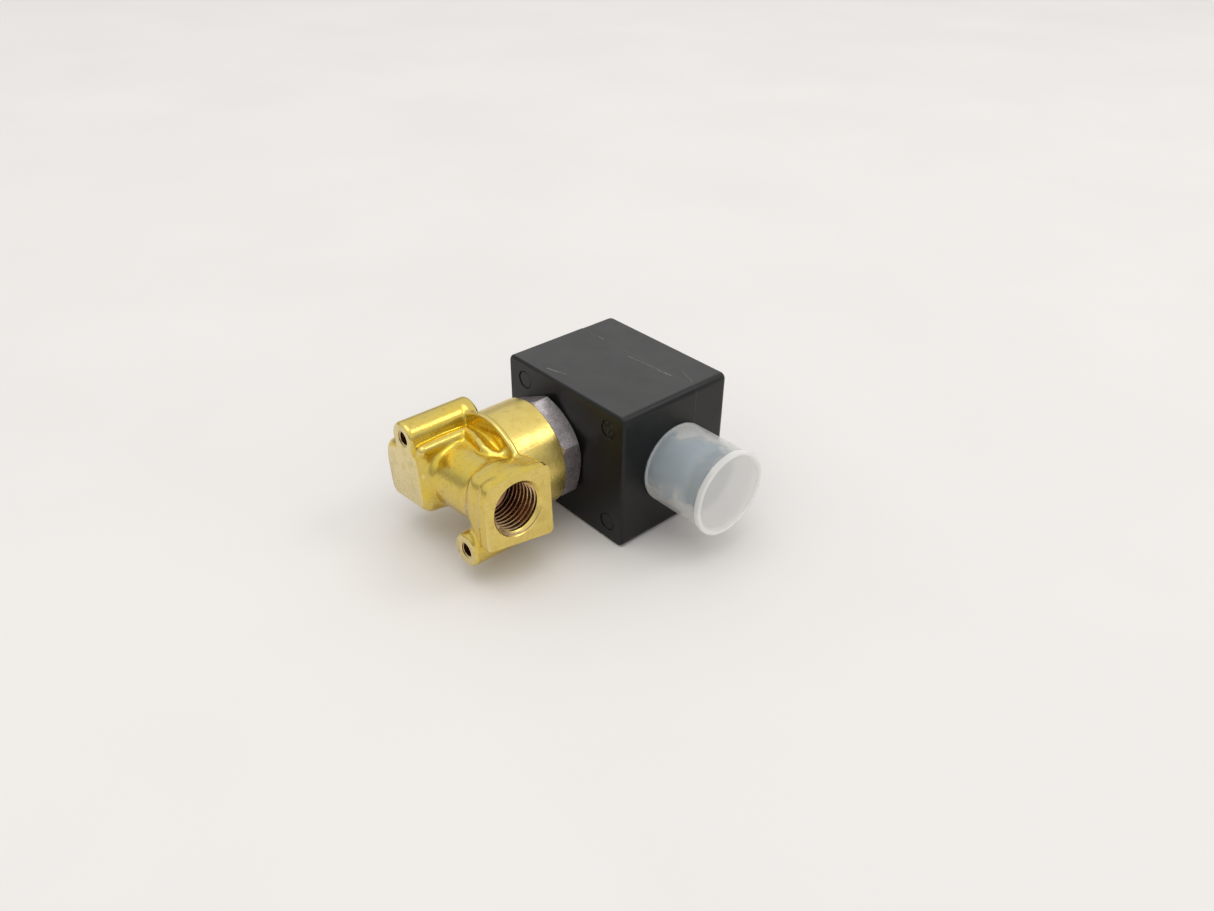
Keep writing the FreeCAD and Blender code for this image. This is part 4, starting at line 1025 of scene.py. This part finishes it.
def build_winding():
    """Copper winding with its outer layer of turns."""
    start, end = span("winding")
    inner, outer = 8.7, span("winding", 2)[1]
    count = int((end - start) / 0.5)
    wire = (end - start) / count
    outline = [(start, inner)]
    for k in range(count):
        for share, height in ((0.0, 0.0), (0.2, 0.8), (0.5, 1.0), (0.8, 0.8)):
            outline.append((start + (k + share) * wire, outer - wire * 0.4 * (1 - height)))
    outline += [(end, outer - wire * 0.4), (end, inner)]
    piece = new_piece("winding_turns", *revolve(outline, steps=72), "winding", "coil", "copper")
    shade(piece, 60)


def build_spring():
    """Return spring with close end turns, built at the length of its CAD node."""
    start, end = spring_low[0], spring_high[0]
    mean, wire, sides = 2.5, 0.28, 12
    turns, end_turns = 9.0, 1.2
    steps = 40
    total = int(turns * steps)
    close = wire * 2.1
    free_turns = turns - 2 * end_turns
    free = (end - start - 2 * wire - 2 * end_turns * close) / free_turns
    points, faces = [], []
    for n in range(total + 1):
        done = n / steps
        rise = min(done, end_turns) * close + min(max(done - end_turns, 0), free_turns) * free
        rise += max(done - turns + end_turns, 0) * close
        a = 2 * math.pi * done
        centre = Vector((start + wire + rise, mean * math.cos(a), mean * math.sin(a)))
        pitch = close if done < end_turns or done > turns - end_turns else free
        around = 2 * math.pi * mean
        ahead = Vector((pitch, -around * math.sin(a), around * math.cos(a))).normalized()
        outwards = Vector((0, math.cos(a), math.sin(a)))
        side = ahead.cross(outwards)
        for k in range(sides):
            b = 2 * math.pi * k / sides
            points.append(centre + (outwards * math.cos(b) + side * math.sin(b)) * wire)
    for n in range(total):
        for k in range(sides):
            a, b = n * sides + k, n * sides + (k + 1) % sides
            faces.append([a, b, b + sides, a + sides])
    faces += [list(range(sides)), [total * sides + k for k in range(sides)]]
    piece = new_piece("return_spring_coils", points, faces, "return_spring", "valve", "spring_steel")
    shade(piece, 40)
    return piece


build_body()
build_bonnet()
build_core()
build_nut()
build_washer()
build_coil()
build_connector()
build_cap()
build_winding()
spring = build_spring()
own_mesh(spring)


# ------------ floor, light and camera

floor_rings = [(0, r) for r in (0, 60, 200, 600, 2000, 6000)]
floor_centre = (40, -10, cad_low[2] / MM)
floor = new_mesh("floor", *revolve(floor_rings, floor_centre, (0, 0, 1), 64), [floor_finish()])


def area_light(name, place, size, power):
    """Hang a soft square lamp at a point, in millimetres, aimed at the valve."""
    lamp = bpy.data.lights.new(name, "AREA")
    lamp.shape = "RECTANGLE"
    lamp.size, lamp.size_y = size[0] * MM, size[1] * MM
    lamp.energy = power
    lamp.color = (1.0, 0.99, 0.98)
    holder = new_object(name, lamp)
    holder.location = Vector(place) * MM
    aim = Vector((36, -10, 0)) - Vector(place)
    holder.rotation_euler = aim.to_track_quat("-Z", "Y").to_euler()


area_light("key", (820, -667, 1097), (520, 420), 2.2)
area_light("ceiling", (-200, -60, 1900), (1500, 1500), 7.4)

ROOM_LEVELS = ((0.0, 0.42), (0.2, 0.5), (0.42, 0.84), (1.0, 0.8))  # upward part of a direction, brightness


def light_room():
    """Give the room a soft light that is brighter overhead than at the horizon."""
    world = bpy.data.worlds.new("room")
    bpy.context.scene.world = world
    world.use_nodes = True
    tree = world.node_tree
    backdrop = tree.nodes["Background"]
    direction = tree.nodes.new("ShaderNodeTexCoord").outputs["Generated"]
    split = tree.nodes.new("ShaderNodeSeparateXYZ")
    ramp = tree.nodes.new("ShaderNodeValToRGB")
    tree.links.new(direction, split.inputs[0])
    tree.links.new(split.outputs["Z"], ramp.inputs[0])
    tree.links.new(ramp.outputs[0], backdrop.inputs["Color"])
    stops = ramp.color_ramp.elements
    for position, level in ROOM_LEVELS:
        stops.new(position).color = (level, level * 1.005, level * 1.01, 1.0)
    for unused in (0, -1):
        stops.remove(stops[unused])
    bpy.context.scene.view_settings.view_transform = "Standard"


def place_camera():
    """Put the camera to the left of the front port and above, a little rolled."""
    azimuth, elevation, roll = math.radians(-42.27), math.radians(33.65), math.radians(0.77)
    lens = bpy.data.cameras.new("camera")
    lens.sensor_fit = "HORIZONTAL"
    lens.lens = 28.73
    lens.clip_start = 0.005
    camera = new_object("camera", lens)
    aim = Matrix.Rotation(azimuth, 3, "Z") @ Matrix.Rotation(math.pi / 2 - elevation, 3, "X")
    camera.rotation_euler = (aim @ Matrix.Rotation(roll, 3, "Z")).to_euler()
    camera.location = Vector((-91.6, -159.8, 131.1)) * MM
    bpy.context.scene.camera = camera


light_room()
place_camera()
